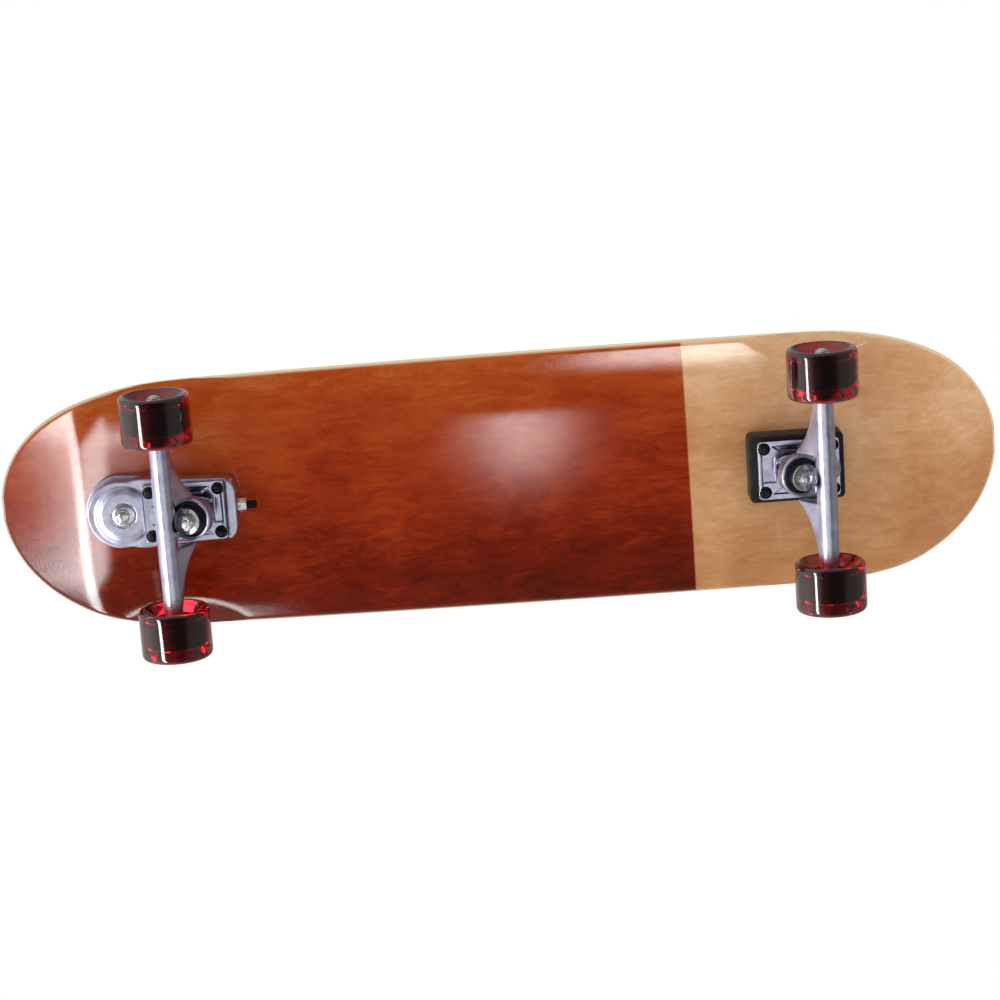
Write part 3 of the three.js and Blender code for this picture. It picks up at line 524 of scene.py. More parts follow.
def moulded_nylon():
    """Glass-filled nylon straight from the mould: black with a faint grain."""
    return moulded_black("moulded black nylon", "#0d0d0f", "#17171a", 0.4, 0.6, 0.15)


def cast_bushing_urethane():
    """Hard cast urethane with a smooth, slightly waxy skin."""
    return moulded_black("cast bushing urethane", "#0c0c0f", "#16161a", 0.32, 1.5, 0.08)


def clear_red_urethane():
    """Clear cast urethane, dyed red: light goes through it and comes out deep red, under a wet shine.

    The rolling face is ground, which leaves faint rings 1 mm apart.
    """
    material, tree, shader, where = new_material("clear red cast urethane", {
        "IOR": 1.5, "Transmission Weight": 1.0, "Coat Weight": 0.4, "Coat Roughness": 0.04})
    cloud = add(tree, "ShaderNodeTexNoise", {"Scale": per_mm(18), "Detail": 4.0}, {"Vector": where})
    tone = add(tree, "ShaderNodeValToRGB", links={0: cloud.outputs[0]}, stops=[
        (0.35, "#90030d"), (0.65, "#b00815")])
    rough = add(tree, "ShaderNodeMapRange", {
        "From Min": 0.3, "From Max": 0.7, "To Min": 0.03, "To Max": 0.08}, {"Value": cloud.outputs[0]})
    rings = add(tree, "ShaderNodeTexWave", {
        "wave_type": "BANDS", "bands_direction": "Y", "Scale": per_mm(1) / math.tau, "Distortion": 1.0},
        {"Vector": where})
    relief = add(tree, "ShaderNodeBump", {"Strength": 0.006, "Distance": 0.0001},
                 {"Height": rings.outputs[1]})
    dress(tree, shader, tone, rough, relief)
    return material


STAIN_END = 0.1765  # metres behind the middle, where the stain stops on the centre line
PLIES = 7
MATERIALS = {
    "lacquered_maple": stained_lacquered_maple(),
    "grip_tape": silicon_carbide_grip(),
    "riser_rubber": moulded_riser_rubber(),
    "cast_aluminium": tumbled_cast_aluminium(),
    "chromed_baseplate": chrome_plate(),
    "zinc_steel": zinc_plated_steel(),
    "black_steel": black_oxide_steel(),
    "black_nylon": moulded_nylon(),
    "bushing_rubber": cast_bushing_urethane(),
    "red_urethane": clear_red_urethane(),
}


# ---------------------------------------------------------------- bolts, nuts and washers

BOLT_SPACING = (63.5, 41.3)
BOLT_RADIUS = 2.4
BOLT_HEAD_RADIUS = 4.6
DECK_THICKNESS = 11
DECK_TOP = UNDERSIDE + DECK_THICKNESS


def bolt_places(centre_x):
    """The four (x, y) places of the standard truck bolt pattern."""
    along, across = BOLT_SPACING
    return [(centre_x + sx * along / 2, sy * across / 2) for sx in (-1, 1) for sy in (-1, 1)]


def socket_bolt(head_z, end_z):
    """A countersunk bolt with a hexagon socket, head up."""
    socket, depth = 1.6, 1.8
    shank = [(0, end_z), (BOLT_RADIUS - 0.5, end_z)] + threads(BOLT_RADIUS, end_z + 0.3, end_z + 16)
    head = [(BOLT_RADIUS, head_z - 3.0), (BOLT_HEAD_RADIUS, head_z - 0.6),
            (BOLT_HEAD_RADIUS - 0.25, head_z)]
    hole = turned([(0, head_z - depth), (2, head_z - depth), (2, head_z + 1), (0, head_z + 1)], 48,
                  flats=socket)
    return cut(turned(shank + head + [(0, head_z)], 48), [hole])


def hex_nut(across_flats, height, bore, collar=0.0):
    """A chamfered hexagon nut standing on 0, with a round locking collar on top if it has one."""
    flat = across_flats / 2
    corner = flat / math.cos(math.pi / 6)
    slope = (corner - flat) * 0.55
    body = height - collar
    profile = [(bore, 0.4), (bore + 0.4, 0), (flat * 0.97, 0), (corner, slope), (corner, body - slope)]
    profile += [(flat * 0.97, body)]
    if collar:
        profile += [(flat * 0.86, body + 0.1), (flat * 0.84, height - 0.5), (flat * 0.76, height)]
    profile += [(bore + 0.3, height), (bore, height - 0.4)]
    return turned(profile, 72, ring=True, flats=flat)


def washer(inner, outer, thickness, edge=0.15):
    """A flat washer standing on 0 with eased edges."""
    return turned([(inner, 0), (outer - edge, 0), (outer, edge), (outer, thickness - edge),
                   (outer - edge, thickness), (inner, thickness)], 64, ring=True)


# ---------------------------------------------------------------- deck and grip tape

DECK_HALF_WIDTH = high("deck").y
END_REACH = 195
END_POWER = 2.6
NOSE_TAPER = 3
WIDEST_X = -130
CONCAVE_RISE = 6
FLAT_HALF_WIDTH = 61
KICK_START = 362
KICK_RADIUS = 110
KICK_ANGLE = {1: math.radians(19), -1: math.radians(21)}
EDGE_ROUND = 4.0
WELL_HALF_LENGTH = 63
WELL_REACH = 26
WELL_DEPTH = 3.5


def half_width(x):
    side = DECK_HALF_WIDTH - NOSE_TAPER * ((x - WIDEST_X) / 400) ** 2
    in_end = max(0.0, (abs(x) - DECK_LENGTH / 2 - 0.8 + END_REACH) / END_REACH)
    return side * math.sqrt(max(0.0, 1 - in_end ** END_POWER))


def lift(x, y):
    """How far kicks and concave raise the deck above its flat middle."""
    angle = KICK_ANGLE[1 if x > 0 else -1]
    past = max(0.0, abs(x) - KICK_START)
    bend_end = KICK_RADIUS * math.sin(angle)
    kick = KICK_RADIUS - math.sqrt(KICK_RADIUS ** 2 - min(past, bend_end) ** 2)
    kick += max(0.0, past - bend_end) * math.tan(angle)
    outside = max(0.0, abs(y) - FLAT_HALF_WIDTH) / (DECK_HALF_WIDTH - FLAT_HALF_WIDTH)
    return kick + CONCAVE_RISE * outside ** 2


def deck_outline():
    """Points round the deck's outline."""
    tip = DECK_LENGTH / 2
    stations = [tip * math.sin(math.pi / 2 * i / 600) for i in range(-600, 601)]
    points = [(x, side * half_width(x)) for x in stations for side in (1, -1)]
    end = half_width(tip)
    return np.array(points + [(s * tip, end * k / 12) for s in (1, -1) for k in range(-12, 13)])


def well_level(x, y):
    """Height of the scoop over the wheel nearest to this place, or far below the deck."""
    axle = AXLE_X["front"] if x > 0 else AXLE_X["rear"]
    edge = half_width(axle)
    inner = UNDERSIDE + lift(axle, edge - WELL_REACH)
    outer = UNDERSIDE + lift(axle, edge) + WELL_DEPTH
    rise = (outer - inner) * (abs(y) - edge + WELL_REACH) / WELL_REACH
    return inner + rise - (x - axle) ** 2 * WELL_DEPTH / WELL_HALF_LENGTH ** 2


def deck_grid(inset, columns=240, rows=64):
    """(x, y, how far edge rounding drops it) over the whole outline, closer together near its edge."""
    outline = deck_outline()
    tip = DECK_LENGTH / 2 - inset
    grid = []
    for i in range(columns + 1):
        x = tip * math.sin(math.pi / 2 * (2 * i / columns - 1))
        reach = max(0.2, half_width(x) - inset)
        ys = reach * np.sin(math.pi / 2 * np.linspace(-1, 1, rows + 1))
        away = np.sqrt(((outline[:, None, :] - np.stack([np.full_like(ys, x), ys], 1)) ** 2).sum(2)).min(0)
        short = np.clip(EDGE_ROUND - away, 0, EDGE_ROUND)
        drop = EDGE_ROUND - np.sqrt(EDGE_ROUND ** 2 - short ** 2)
        grid.append([(x, float(y), float(d)) for y, d in zip(ys, drop)])
    return grid


def sheet(grid, bottom, top):
    """A closed sheet over the grid between two height functions of (x, y, drop)."""
    columns, rows = len(grid), len(grid[0])
    points = [Vector((x, y, height(x, y, drop))) for height in (bottom, top)
              for line in grid for x, y, drop in line]
    half = columns * rows
    faces = []
    for i in range(columns - 1):
        for k in range(rows - 1):
            corner = i * rows + k
            quad = [corner, corner + rows, corner + rows + 1, corner + 1]
            faces += [quad, [half + n for n in quad][::-1]]
    rim = [i * rows for i in range(columns)] + [(columns - 1) * rows + k for k in range(1, rows)]
    rim += [i * rows + rows - 1 for i in range(columns - 2, -1, -1)] + list(range(rows - 2, 0, -1))
    for a, b in zip(rim, rim[1:] + rim[:1]):
        faces.append([a, b, half + b, half + a])
    return points, faces


def underside_level(x, y, drop):
    plain = UNDERSIDE + lift(x, y) + drop
    scoop = well_level(x, y)
    soft = 0.15
    return (plain + scoop + math.sqrt((plain - scoop) ** 2 + soft ** 2)) / 2 if scoop > plain - 3 else plain


def top_level(x, y, drop):
    return UNDERSIDE + DECK_THICKNESS + lift(x, y) - drop


BASE_SCREW_X = (low("swing_base").x + high("swing_base").x) / 2 - 4
SCREW_PLACES = bolt_places(BASE_SCREW_X)
REAR_BOLT_PLACES = [tuple(middle(f"rear_truck_bolt_{i}").xy) for i in range(1, 5)]


def build_deck():
    sinks = [at(joined_sink, x, y) for x, y in REAR_BOLT_PLACES + SCREW_PLACES]
    shape = cut(sheet(deck_grid(0.0), underside_level, top_level), sinks)
    deck = piece("maple_deck", "deck", "lacquered_maple", shape, ["deck"], sharp=50)
    depth = deck.data.attributes.new("ply_depth", "FLOAT", "POINT")
    for vertex, value in zip(deck.data.vertices, depth.data):
        x, y, z = vertex.co / MM
        value.value = (z - UNDERSIDE - lift(x, y)) / DECK_THICKNESS
    return deck


joined_sink = turned([(0, UNDERSIDE - 5), (2.8, UNDERSIDE - 5), (2.8, DECK_TOP - 3.4),
                      (5.0, DECK_TOP - 0.8), (5.0, DECK_TOP + 5), (0, DECK_TOP + 5)], 32)


def build_grip():
    inset = 1.5
    grip_bottom = low("grip_tape").z - DECK_TOP
    thickness = 0.8
    holes = [at(rod(5.6, DECK_TOP - 5, DECK_TOP + 5, steps=32), x, y)
             for x, y in REAR_BOLT_PLACES + SCREW_PLACES]
    tape = sheet(deck_grid(inset, 200, 48),
                 lambda x, y, drop: top_level(x, y, drop) + grip_bottom,
                 lambda x, y, drop: top_level(x, y, drop) + grip_bottom + thickness)
    piece("grit_grip_tape", "deck", "grip_tape", cut(tape, holes), ["grip_tape"])


def build_riser():
    start, end = low("rear_riser_pad"), high("rear_riser_pad")
    outline = rounded_rectangle(end.x - start.x, end.y - start.y, 5, (start.x + end.x) / 2)
    holes = [at(rod(2.9, start.z - 5, end.z + 5, steps=32), x, y) for x, y in REAR_BOLT_PLACES]
    pad = cut(slab(outline, start.z, end.z), holes)
    piece("moulded_rear_riser", "deck", "riser_rubber", pad, ["rear_riser_pad"], edge=0.9)


# ---------------------------------------------------------------- trucks, in each truck's own place

LEAN = math.radians(15)
KINGPIN_AXIS = Vector((-math.sin(LEAN), 0, math.cos(LEAN)))
WASHER_FACE = Vector((-17.5, 0, -43))
RING_CENTRE = WASHER_FACE + 16.1 * KINGPIN_AXIS
PIVOT_POINT = Vector((4.5, 0, -11.5))
STEER_AXIS = (PIVOT_POINT - RING_CENTRE).normalized()
AXLE_POINT = Vector((0, 0, AXLE_Z - MOUNT_Z))
AXLE_HALF = high("front_axle").y
AXLE_SET_BACK = 3  # how far each end stops short of the frame's axle
HANGER_HALF = high("front_hanger").y
PLATE = {"length": 76, "width": 55, "thickness": 5.5}
PLATE_CENTRE = {end: -abs(middle(f"{end}_baseplate").x - AXLE_X[end]) for end in ENDS}
SEAT = WASHER_FACE + 34.5 * KINGPIN_AXIS


# Stations of the webs between axle housing and ring: place along the axle, then the web's edge:
# how far inboard of the axle, how far above it, and its radius.
WEB_STATIONS = [(22, 20.5, 20, 4.6), (27, 17.6, 16.6, 4.7), (33, 14.2, 12.6, 4.8), (42, 10.5, 8.5, 5.0),
                (52, 7.6, 5.4, 5.2), (64, 5.0, 3.0, 5.6), (78, 2.6, 1.4, 6.4)]
HOUSING_RADIUS = 9.2
HOUSING_END_RADIUS = 8.6


def hanger_webs(side):
    """The web on one side, as a chain of hulls that hollow smoothly from housing to ring."""
    sections = []
    for y, inboard, height, radius in WEB_STATIONS:
        on_axle = AXLE_POINT + side * y * ACROSS
        edge = on_axle + Vector((-inboard, 0, height))
        sections.append(circle(on_axle, ACROSS, HOUSING_RADIUS - 0.005 * y, 32) +
                        circle(edge, ACROSS, radius, 24))
    return [hull(first + second) for first, second in zip(sections, sections[1:])]


def build_hanger(end):
    """Cast T: axle housing webbed to a bushing ring, with a stem to the pivot cup."""
    half = [(0, HANGER_HALF), (6.6, HANGER_HALF), (HOUSING_END_RADIUS, HANGER_HALF - 1.2),
            (HOUSING_END_RADIUS + 0.1, 70), (HOUSING_RADIUS, 40)]
    housing = turned(mirrored(half), 64)
    rim = turned([(0, -6.5), (18.4, -6.5), (19.5, -5.4), (19.5, 5.6), (18.6, 6.5), (0, 6.5)], 96)
    upper = circle(RING_CENTRE + 5.2 * KINGPIN_AXIS, KINGPIN_AXIS, 18.8, 24, -90, 90)
    lower = circle(RING_CENTRE - 5.2 * KINGPIN_AXIS, KINGPIN_AXIS, 19.2, 24, -90, 90)
    stem_foot = circle(RING_CENTRE + 24 * STEER_AXIS, STEER_AXIS, 8.2, 24)
    flanks = [p for y in (-22, 22)
              for p in circle(AXLE_POINT + y * ACROSS, ACROSS, HOUSING_RADIUS - 0.4, 24)]
    hub = hull(upper + lower + stem_foot + flanks)
    ball = [(5.5 * math.cos(math.radians(a)), 31.5 + 5.5 * math.sin(math.radians(a)))
            for a in range(0, 90, 15)]
    stem = turned([(0, 18), (8, 18), (5.5, 25)] + ball + [(0, 37)], 48)
    cups = [rod(16, -20, -2), rod(16, 2, 20), rod(10, -20, 20)]
    relief = block((-13, -22, -28), (13, 22, -6.5))
    scallop = at(rod(17.2, -90, -39), -23.2)  # lets the road washer and nut show beside the housing
    bore = aimed(rod(4.3, -100, 100), AXLE_POINT, ACROSS)
    solids = [aimed(housing, AXLE_POINT, ACROSS), aimed(rim, RING_CENTRE, KINGPIN_AXIS), hub,
              aimed(stem, RING_CENTRE, STEER_AXIS)] + hanger_webs(1) + hanger_webs(-1)
    tools = [aimed(tool, RING_CENTRE, KINGPIN_AXIS) for tool in cups + [relief]] + [bore, scallop]
    shape = placed(cast(solids, tools, 0.6, 26), TRUCK_PLACE[end])
    piece(f"{end}_cast_hanger", f"{end}_hanger", "cast_aluminium", shape, [f"{end}_hanger"], sharp=60)


def build_axle(end):
    """Turned axle with threaded ends, its nuts and the thin washers beside each bearing."""
    body = f"{end}_hanger"
    tip = AXLE_HALF - AXLE_SET_BACK
    half = [(0, tip), (3.2, tip)] + threads(4, tip - 0.4, tip - 8, 1.0) + [(4, tip - 9)]
    axle = turned(mirrored(half), 48)
    place = TRUCK_PLACE[end] @ Matrix.Translation(AXLE_POINT)
    piece(f"{end}_turned_axle", body, "zinc_steel", aimed(axle, place.translation, ACROSS), [f"{end}_axle"])
    for name, side in SIDES.items():
        node = f"{end}_{name}_axle_nut"
        inner = min(abs(low(node).y), abs(high(node).y))
        nut = hex_nut(13, 6.6, 4.1, collar=1.6)
        outwards = side * ACROSS
        where = place.translation + inner * outwards
        piece(f"{end}_{name}_lock_nut", body, "zinc_steel", aimed(nut, where, outwards), [node])
        bearing_out = abs(middle(f"{end}_{name}_core").y) + CORE_HALF
        bearing_in = bearing_out - 2 * CORE_HALF
        for label, y in (("outboard", bearing_out + 0.15), ("inboard", bearing_in - 0.95)):
            disc = aimed(washer(4.15, 6.2, 0.8), place.translation + y * outwards, outwards)
            piece(f"{end}_{name}_{label}_speed_washer", body, "zinc_steel", disc)


def build_baseplate(end, body):
    """Cast, chromed baseplate: kingpin seat, pivot socket, bolt holes, windows and side pockets."""
    centre = PLATE_CENTRE[end]
    inboard = centre - PLATE["length"] / 2
    thickness = PLATE["thickness"]
    plate = slab(rounded_rectangle(PLATE["length"], PLATE["width"], 3, centre), -thickness, 0)
    seat = aimed(rod(12.5, 0, 12, 14), SEAT, KINGPIN_AXIS)
    socket = aimed(rod(11, 24.5, 40.4), RING_CENTRE, STEER_AXIS)
    rim = block((inboard + 0.8, -24.5, -thickness - 1.5), (inboard + 3.3, 24.5, -2))
    web = hull(circle(SEAT + 4 * KINGPIN_AXIS, KINGPIN_AXIS, 8, 16) +
               circle(RING_CENTRE + 33 * STEER_AXIS, STEER_AXIS, 6, 16))
    above = block((-80, -60, 0), (60, 60, 40))
    tools = [above]
    for x, y in bolt_places(centre):
        tools.append(at(rod(2.8, -20, 10, steps=32), x, y))
        tools.append(at(rod(5.4, -20, -thickness + 1.6, steps=32), x, y))
    window_end = min(inboard + 16.5, SEAT.x - 13.5)
    tools.append(block((inboard + 3.5, -12, -20), (window_end, 12, -1.2)))
    for side in (1, -1):
        pocket = [(13, 23), (46, 23), (43, 16.5), (22, 16.5)]
        tools.append(slab([(inboard + x, side * y) for x, y in pocket][::side], -20, -1.8))
    tools.append(aimed(rod(5.05, -5, 40), SEAT, KINGPIN_AXIS))
    tools.append(aimed(rod(7.9, 24, 38.7), RING_CENTRE, STEER_AXIS))
    shape = placed(cast([plate, seat, socket, rim, web], tools, 0.5, 4), TRUCK_PLACE[end])
    piece(f"{end}_cast_baseplate", body, "chromed_baseplate", shape, [f"{end}_baseplate"], sharp=60)


def build_kingpin_stack(end, body):
    """Everything on the kingpin, from its nut up to its head inside the baseplate."""
    def stacked(shape, height):
        return placed(aimed(shape, WASHER_FACE + height * KINGPIN_AXIS, KINGPIN_AXIS), TRUCK_PLACE[end])

    shaft = [(0, -8), (3.9, -8)] + threads(4.75, -7.7, 4, 1.1) + [(4.75, 5), (4.75, 40.5), (0, 40.5)]
    kingpin = turned(shaft, 48)
    piece(f"{end}_kingpin_bolt", body, "zinc_steel", stacked(kingpin, 0), [f"{end}_kingpin"])
    nut = aimed(hex_nut(14.3, 6.7, 4.85, collar=1.8), (0, 0, -0.3), -UP)
    piece(f"{end}_kingpin_lock_nut", body, "zinc_steel", stacked(nut, 0), [f"{end}_kingpin_nut"])
    dish = [(4.9, 0.0), (9.0, 0.0), (12.2, 0.35), (12.5, 0.8), (12.2, 1.5), (9.0, 1.1), (4.9, 1.1)]
    road = turned(dish, 72, ring=True)
    piece(f"{end}_road_cup_washer", body, "zinc_steel", stacked(road, 0), [f"{end}_road_washer"])
    board = aimed(road, (0, 0, 1.5), -UP)
    piece(f"{end}_board_cup_washer", body, "zinc_steel", stacked(board, 32.7), [f"{end}_board_washer"])
    # Each bushing is stepped: its wide end fills the ring's cup.
    for label, height, start, cup_end in (("road", 12, 1.8, 1), ("board", 14, 18.4, 0)):
        profile = [(11.8, 0), (12.8, 0.5), (13, 1.4), (12.6, height * 0.4), (12.7, height - 4.6),
                   (13.6, height - 4.2), (15.3, height - 4.0), (15.6, height - 3.6), (15.6, height - 0.3),
                   (15.2, height)]
        if not cup_end:
            profile = [(r, height - h) for r, h in reversed(profile)]
        bushing = turned([(5.0, 0)] + profile + [(5.0, height)], 72, ring=True)
        piece(f"{end}_{label}_cast_bushing", body, "bushing_rubber", stacked(bushing, start),
              [f"{end}_{label}_bushing"], sharp=50)
    cup = turned([(5.9, 24.5), (7.3, 24.5), (7.6, 24.8), (7.6, 38.4), (0, 38.4), (0, 37.6),
                  (5.9, 37.6)], 48)
    socket = placed(aimed(cup, RING_CENTRE, STEER_AXIS), TRUCK_PLACE[end])
    piece(f"{end}_moulded_pivot_cup", body, "black_nylon", socket, [f"{end}_pivot_cup"])


def build_truck_bolts(end, body):
    """Four countersunk bolts, and the lock nuts that clamp the baseplate."""
    plate_under = MOUNT_Z - PLATE["thickness"] + 1.6
    nut = aimed(hex_nut(8, 4.6, 2.5, collar=1.4), (0, 0, plate_under - 0.1), -UP)
    for i in range(1, 5):
        node = f"{end}_truck_bolt_{i}"
        x, y = middle(node).xy
        bolt = at(socket_bolt(high(node).z, low(node).z), x, y)
        piece(f"{end}_socket_bolt_{i}", body, "black_steel", bolt, [node])
        # Painted shade: these nuts wear black oxide so that they read as dark as the shade in their
        # recesses.
        piece(f"{end}_socket_bolt_nut_{i}", body, "black_steel", at(nut, x, y))


# ---------------------------------------------------------------- swing arm of the front truck

def build_swing_base():
    """Cast base screwed under the deck, with the post the arm turns on."""
    top = high("swing_base").z
    outline = [(292, -28), (330, -32)] + arc((352, 0), 34.5, -81, 81, 32) + [(330, 32), (292, 28)]
    post = at(rod(12, low("swing_base").z, top), PIVOT_X)
    tools = [at(rod(5.3, 60, 130), PIVOT_X), at(rod(9.5, UNDERSIDE - 6.5, 130), PIVOT_X)]
    tools += [at(rod(2.6, 60, 130, steps=32), x, y) for x, y in SCREW_PLACES]
    shape = cast([slab(outline, UNDERSIDE - 7, top), post], tools)
    piece("swing_cast_base", "deck", "cast_aluminium", shape, ["swing_base"], sharp=60)


def arm_outline():
    """Plan of the swing arm: a square-shouldered end widening to a round nose over the pivot."""
    end, side = ARM_END_X, high("swing_arm").y - 1.5
    half = [(end, 15)] + bend((end, 15), (end + 1, side - 4), (end + 14, side - 2.5))
    half += [(318, side)] + bend((318, side), (332, side + 3), (344, side - 0.5))
    nose = arc((352, 0), 31.5, 84, -84, 40)
    return half + nose + [(x, -y) for x, y in reversed(half)]


def build_swing_arm():
    """Cast arm: a domed nose over the pivot, a spring channel and an end wall for the tension screw."""
    bottom = MOUNT_Z + GAP
    dome_z = low("swing_arm").z + 3
    plate = slab(arm_outline()[::-1], bottom, ARM_TOP)
    wall_plan = [(ARM_END_X, -15)] + bend((ARM_END_X, -15), (ARM_END_X + 1, -26), (ARM_END_X + 8.5, -28))
    wall = slab(mirrored(wall_plan), MOUNT_Z - 6, ARM_TOP)
    crown = [(0, dome_z), (15, dome_z), (20, dome_z + 0.5), (24.5, dome_z + 1.6), (28, bottom + 0.4),
             (28, ARM_TOP - 2), (0, ARM_TOP - 2)]
    dome = at(turned(crown, 96), PIVOT_X)
    tools = [
        at(rod(12.4, low("swing_base").z - 2.6, ARM_TOP + 5), PIVOT_X),
        at(rod(5.3, dome_z - 5, ARM_TOP), PIVOT_X),
        at(rod(11.5, dome_z - 5, dome_z + 1.2), PIVOT_X),
        block((ARM_END_X + 10.5, -6.5, SPRING_Z - 6.5), (PIVOT_X - 5, 6.5, ARM_TOP + 5)),
        aimed(rod(4.2, -5, 30, steps=48), (ARM_END_X, 0, SPRING_Z), NOSEWARD),
        block((ARM_END_X + 8.5, -28.5, 60), (AXLE_X["front"] + PLATE_CENTRE["front"] + 38.3, 28.5, bottom)),
    ]
    for i in range(1, 5):
        x, y = middle(f"front_truck_bolt_{i}").xy
        tools.append(at(rod(2.8, 60, ARM_TOP + 5, steps=32), x, y))
        tools.append(at(rod(5.2, ARM_TOP - 4, ARM_TOP + 5, steps=32), x, y))
    shape = cast([plate, wall, dome], tools, 0.6, 6)
    piece("swing_cast_arm", "swing_arm", "cast_aluminium", shape, ["swing_arm"], sharp=60)


def build_pivot():
    """The bolt the arm turns on, its flanged nut and the nylon thrust washer."""
    start, end = low("swing_pivot_bolt").z, high("swing_pivot_bolt").z
    shank = [(0, start), (3.7, start)] + threads(5, start + 0.4, start + 12, 1.2)
    bolt = turned(shank + [(5, start + 13), (5, end), (0, end)], 48)
    piece("swing_turned_pivot_bolt", "deck", "zinc_steel", at(bolt, PIVOT_X), ["swing_pivot_bolt"])
    flange_z = high("swing_pivot_nut").z
    flange = turned([(5.2, 0), (10.0, 0), (10.2, 0.3), (10.0, 0.8), (8.2, 1.5), (5.2, 1.5)], 72, ring=True)
    nut = at(hex_nut(12.5, 5.3, 5.2), z=1.5)
    both = aimed(joined(flange, nut), (PIVOT_X, 0, flange_z), -UP)
    piece("swing_flanged_pivot_nut", "deck", "zinc_steel", both, ["swing_pivot_nut"])
    start, end = low("swing_thrust_washer"), high("swing_thrust_washer")
    ring = washer(5.4, (end.x - start.x) / 2, end.z - start.z, 0.3)
    piece("swing_nylon_thrust_washer", "deck", "black_nylon", at(ring, PIVOT_X, 0, start.z),
          ["swing_thrust_washer"])


def build_return_spring():
    """Coiled spring, its plunger against the post, and the screw and nut that set its tension."""
    start, end = low("swing_return_spring").x, high("swing_return_spring").x
    coil, wire, turns, steps = 4.9, 1.0, 11, 24
    path = []
    for i in range(turns * steps + 1):
        angle = 2 * math.pi * i / steps
        along = start + wire + (end - start - 2 * wire) * i / (turns * steps)
        path.append(Vector((along, coil * math.cos(angle), SPRING_Z + coil * math.sin(angle))))
    piece("swing_coiled_spring", "swing_arm", "zinc_steel", swept(path, wire), ["swing_return_spring"])
    near, far = low("swing_spring_plunger").x, high("swing_spring_plunger").x
    reach = far - near
    plunger = turned([(0, 0), (5.6, 0), (5.8, 0.4), (5.8, reach - 2), (4.6, reach - 0.6),
                      (3, reach), (0, reach)])
    plunger = aimed(plunger, (near, 0, SPRING_Z), NOSEWARD)
    piece("swing_moulded_plunger", "swing_arm", "black_nylon", plunger, ["swing_spring_plunger"])
    start, end = low("swing_tension_bolt").x, high("swing_tension_bolt").x
    reach = end - start
    screw = [(0, 0), (3.0, 0)] + threads(3.9, 0.5, reach - 4.5, 1.0)
    screw += [(3.9, reach - 3.8), (6, reach - 3.6), (6, reach), (0, reach)]
    body = cut(turned(screw, 48), [rod(2.4, -2, 3, steps=6)])
    piece("tension_set_screw", "tension_screw", "black_steel", aimed(body, (start, 0, SPRING_Z), NOSEWARD),
          ["swing_tension_bolt"])
    node = "swing_tension_nut"
    nut = hex_nut(11, high(node).x - low(node).x, 4.1)
    piece("swing_tension_lock_nut", "swing_arm", "zinc_steel",
          aimed(nut, (low(node).x, 0, SPRING_Z), NOSEWARD), [node])


def build_base_screws():
    """Four countersunk screws through the deck into the swing base."""
    for i, (x, y) in enumerate(SCREW_PLACES, 1):
        screw = at(socket_bolt(DECK_TOP, UNDERSIDE - 6.5), x, y)
        piece(f"swing_base_screw_{i}", "deck", "black_steel", screw)


# ---------------------------------------------------------------- wheels

WHEEL_RADIUS = 32.5
CORE_RADIUS = 20.5
CORE_HALF = 12.5


def tyre_shape():
    """Cast urethane tyre with square-set lips, centred on 0 along its axle."""
    # The bore sits just inside the core's rim: the two are bonded, with no air between.
    half = [(CORE_RADIUS - 0.2, 9.4), (18.4, 11.4), (18.4, 13.4), (21.4, 16.8), (24.6, 19.2)]
    half += [(26.5, 21.2), (27.4, 22.4), (28.3, 23.0)]
    half += [(29.6, 22.9), (30.6, 22.5), (31.4, 21.8), (32.0, 20.8), (32.3, 19.8), (32.45, 18.6)]
    half += [(WHEEL_RADIUS, 17)]
    return turned(mirrored(half), 128, ring=True)


def core_shape():
    """Moulded core: a rim that the urethane grips, a hub for the bearings and eight ribs between."""
    half = [(9.2, 5.2), (11.05, 5.5), (11.05, CORE_HALF), (13.2, CORE_HALF), (13.5, CORE_HALF - 0.3)]
    half += [(18.1, CORE_HALF - 0.3), (18.6, CORE_HALF - 0.6), (18.6, 11.2), (CORE_RADIUS, 9.2)]
    half += [(CORE_RADIUS, 2)]
    whole = turned(mirrored(half), 96, ring=True)
    pockets = []
    for k in range(8):
        plan = arc((0, 0), 17.2, 45 * k + 6, 45 * k + 39, 8) + arc((0, 0), 13.8, 45 * k + 37, 45 * k + 8, 8)
        pockets += [slab(plan, CORE_HALF - 4.5, CORE_HALF + 2), slab(plan, -CORE_HALF - 2, 4.5 - CORE_HALF)]
    return cut(whole, pockets)


def bearing_shape():
    """Ball bearing seen from outside: two races and the recessed shield between them."""
    half = [(4.1, 3.2), (4.4, 3.5), (5.9, 3.5), (6.1, 3.3), (6.1, 2.9), (9.1, 2.9), (9.3, 3.3), (9.5, 3.5)]
    half += [(10.7, 3.5), (11.0, 3.2)]
    return turned(mirrored(half), 72, ring=True)


def build_wheels():
    tyre, core, bearing = tyre_shape(), core_shape(), bearing_shape()
    for end in ENDS:
        for name, side in SIDES.items():
            wheel = f"{end}_{name}"
            body = f"{wheel}_wheel"
            centre = middle(f"{wheel}_tyre")
            outwards = side * ACROSS
            piece(f"{wheel}_urethane_tyre", body, "red_urethane", aimed(tyre, centre, outwards),
                  [f"{wheel}_tyre"])
            piece(f"{wheel}_moulded_core", body, "black_nylon", aimed(core, centre, outwards),
                  [f"{wheel}_core"])
            for label in ("outer", "inner"):
                node = f"{wheel}_bearing_{label}"
                piece(f"{wheel}_shielded_bearing_{label}", body, "zinc_steel",
                      aimed(bearing, middle(node), outwards), [node])


# ---------------------------------------------------------------- camera, floor and light

LENS = 103.15
DISTANCE = 2.6762
ROLL, PITCH, YAW = 0.0687, 0.2404, 0.009
OFF_CENTRE = Vector((-0.000663, -0.016335, DISTANCE))


BOX_DISTANCE = 1.6  # metres from a surface to the softbox that it mirrors
STREAK_TURN = math.radians(-52)


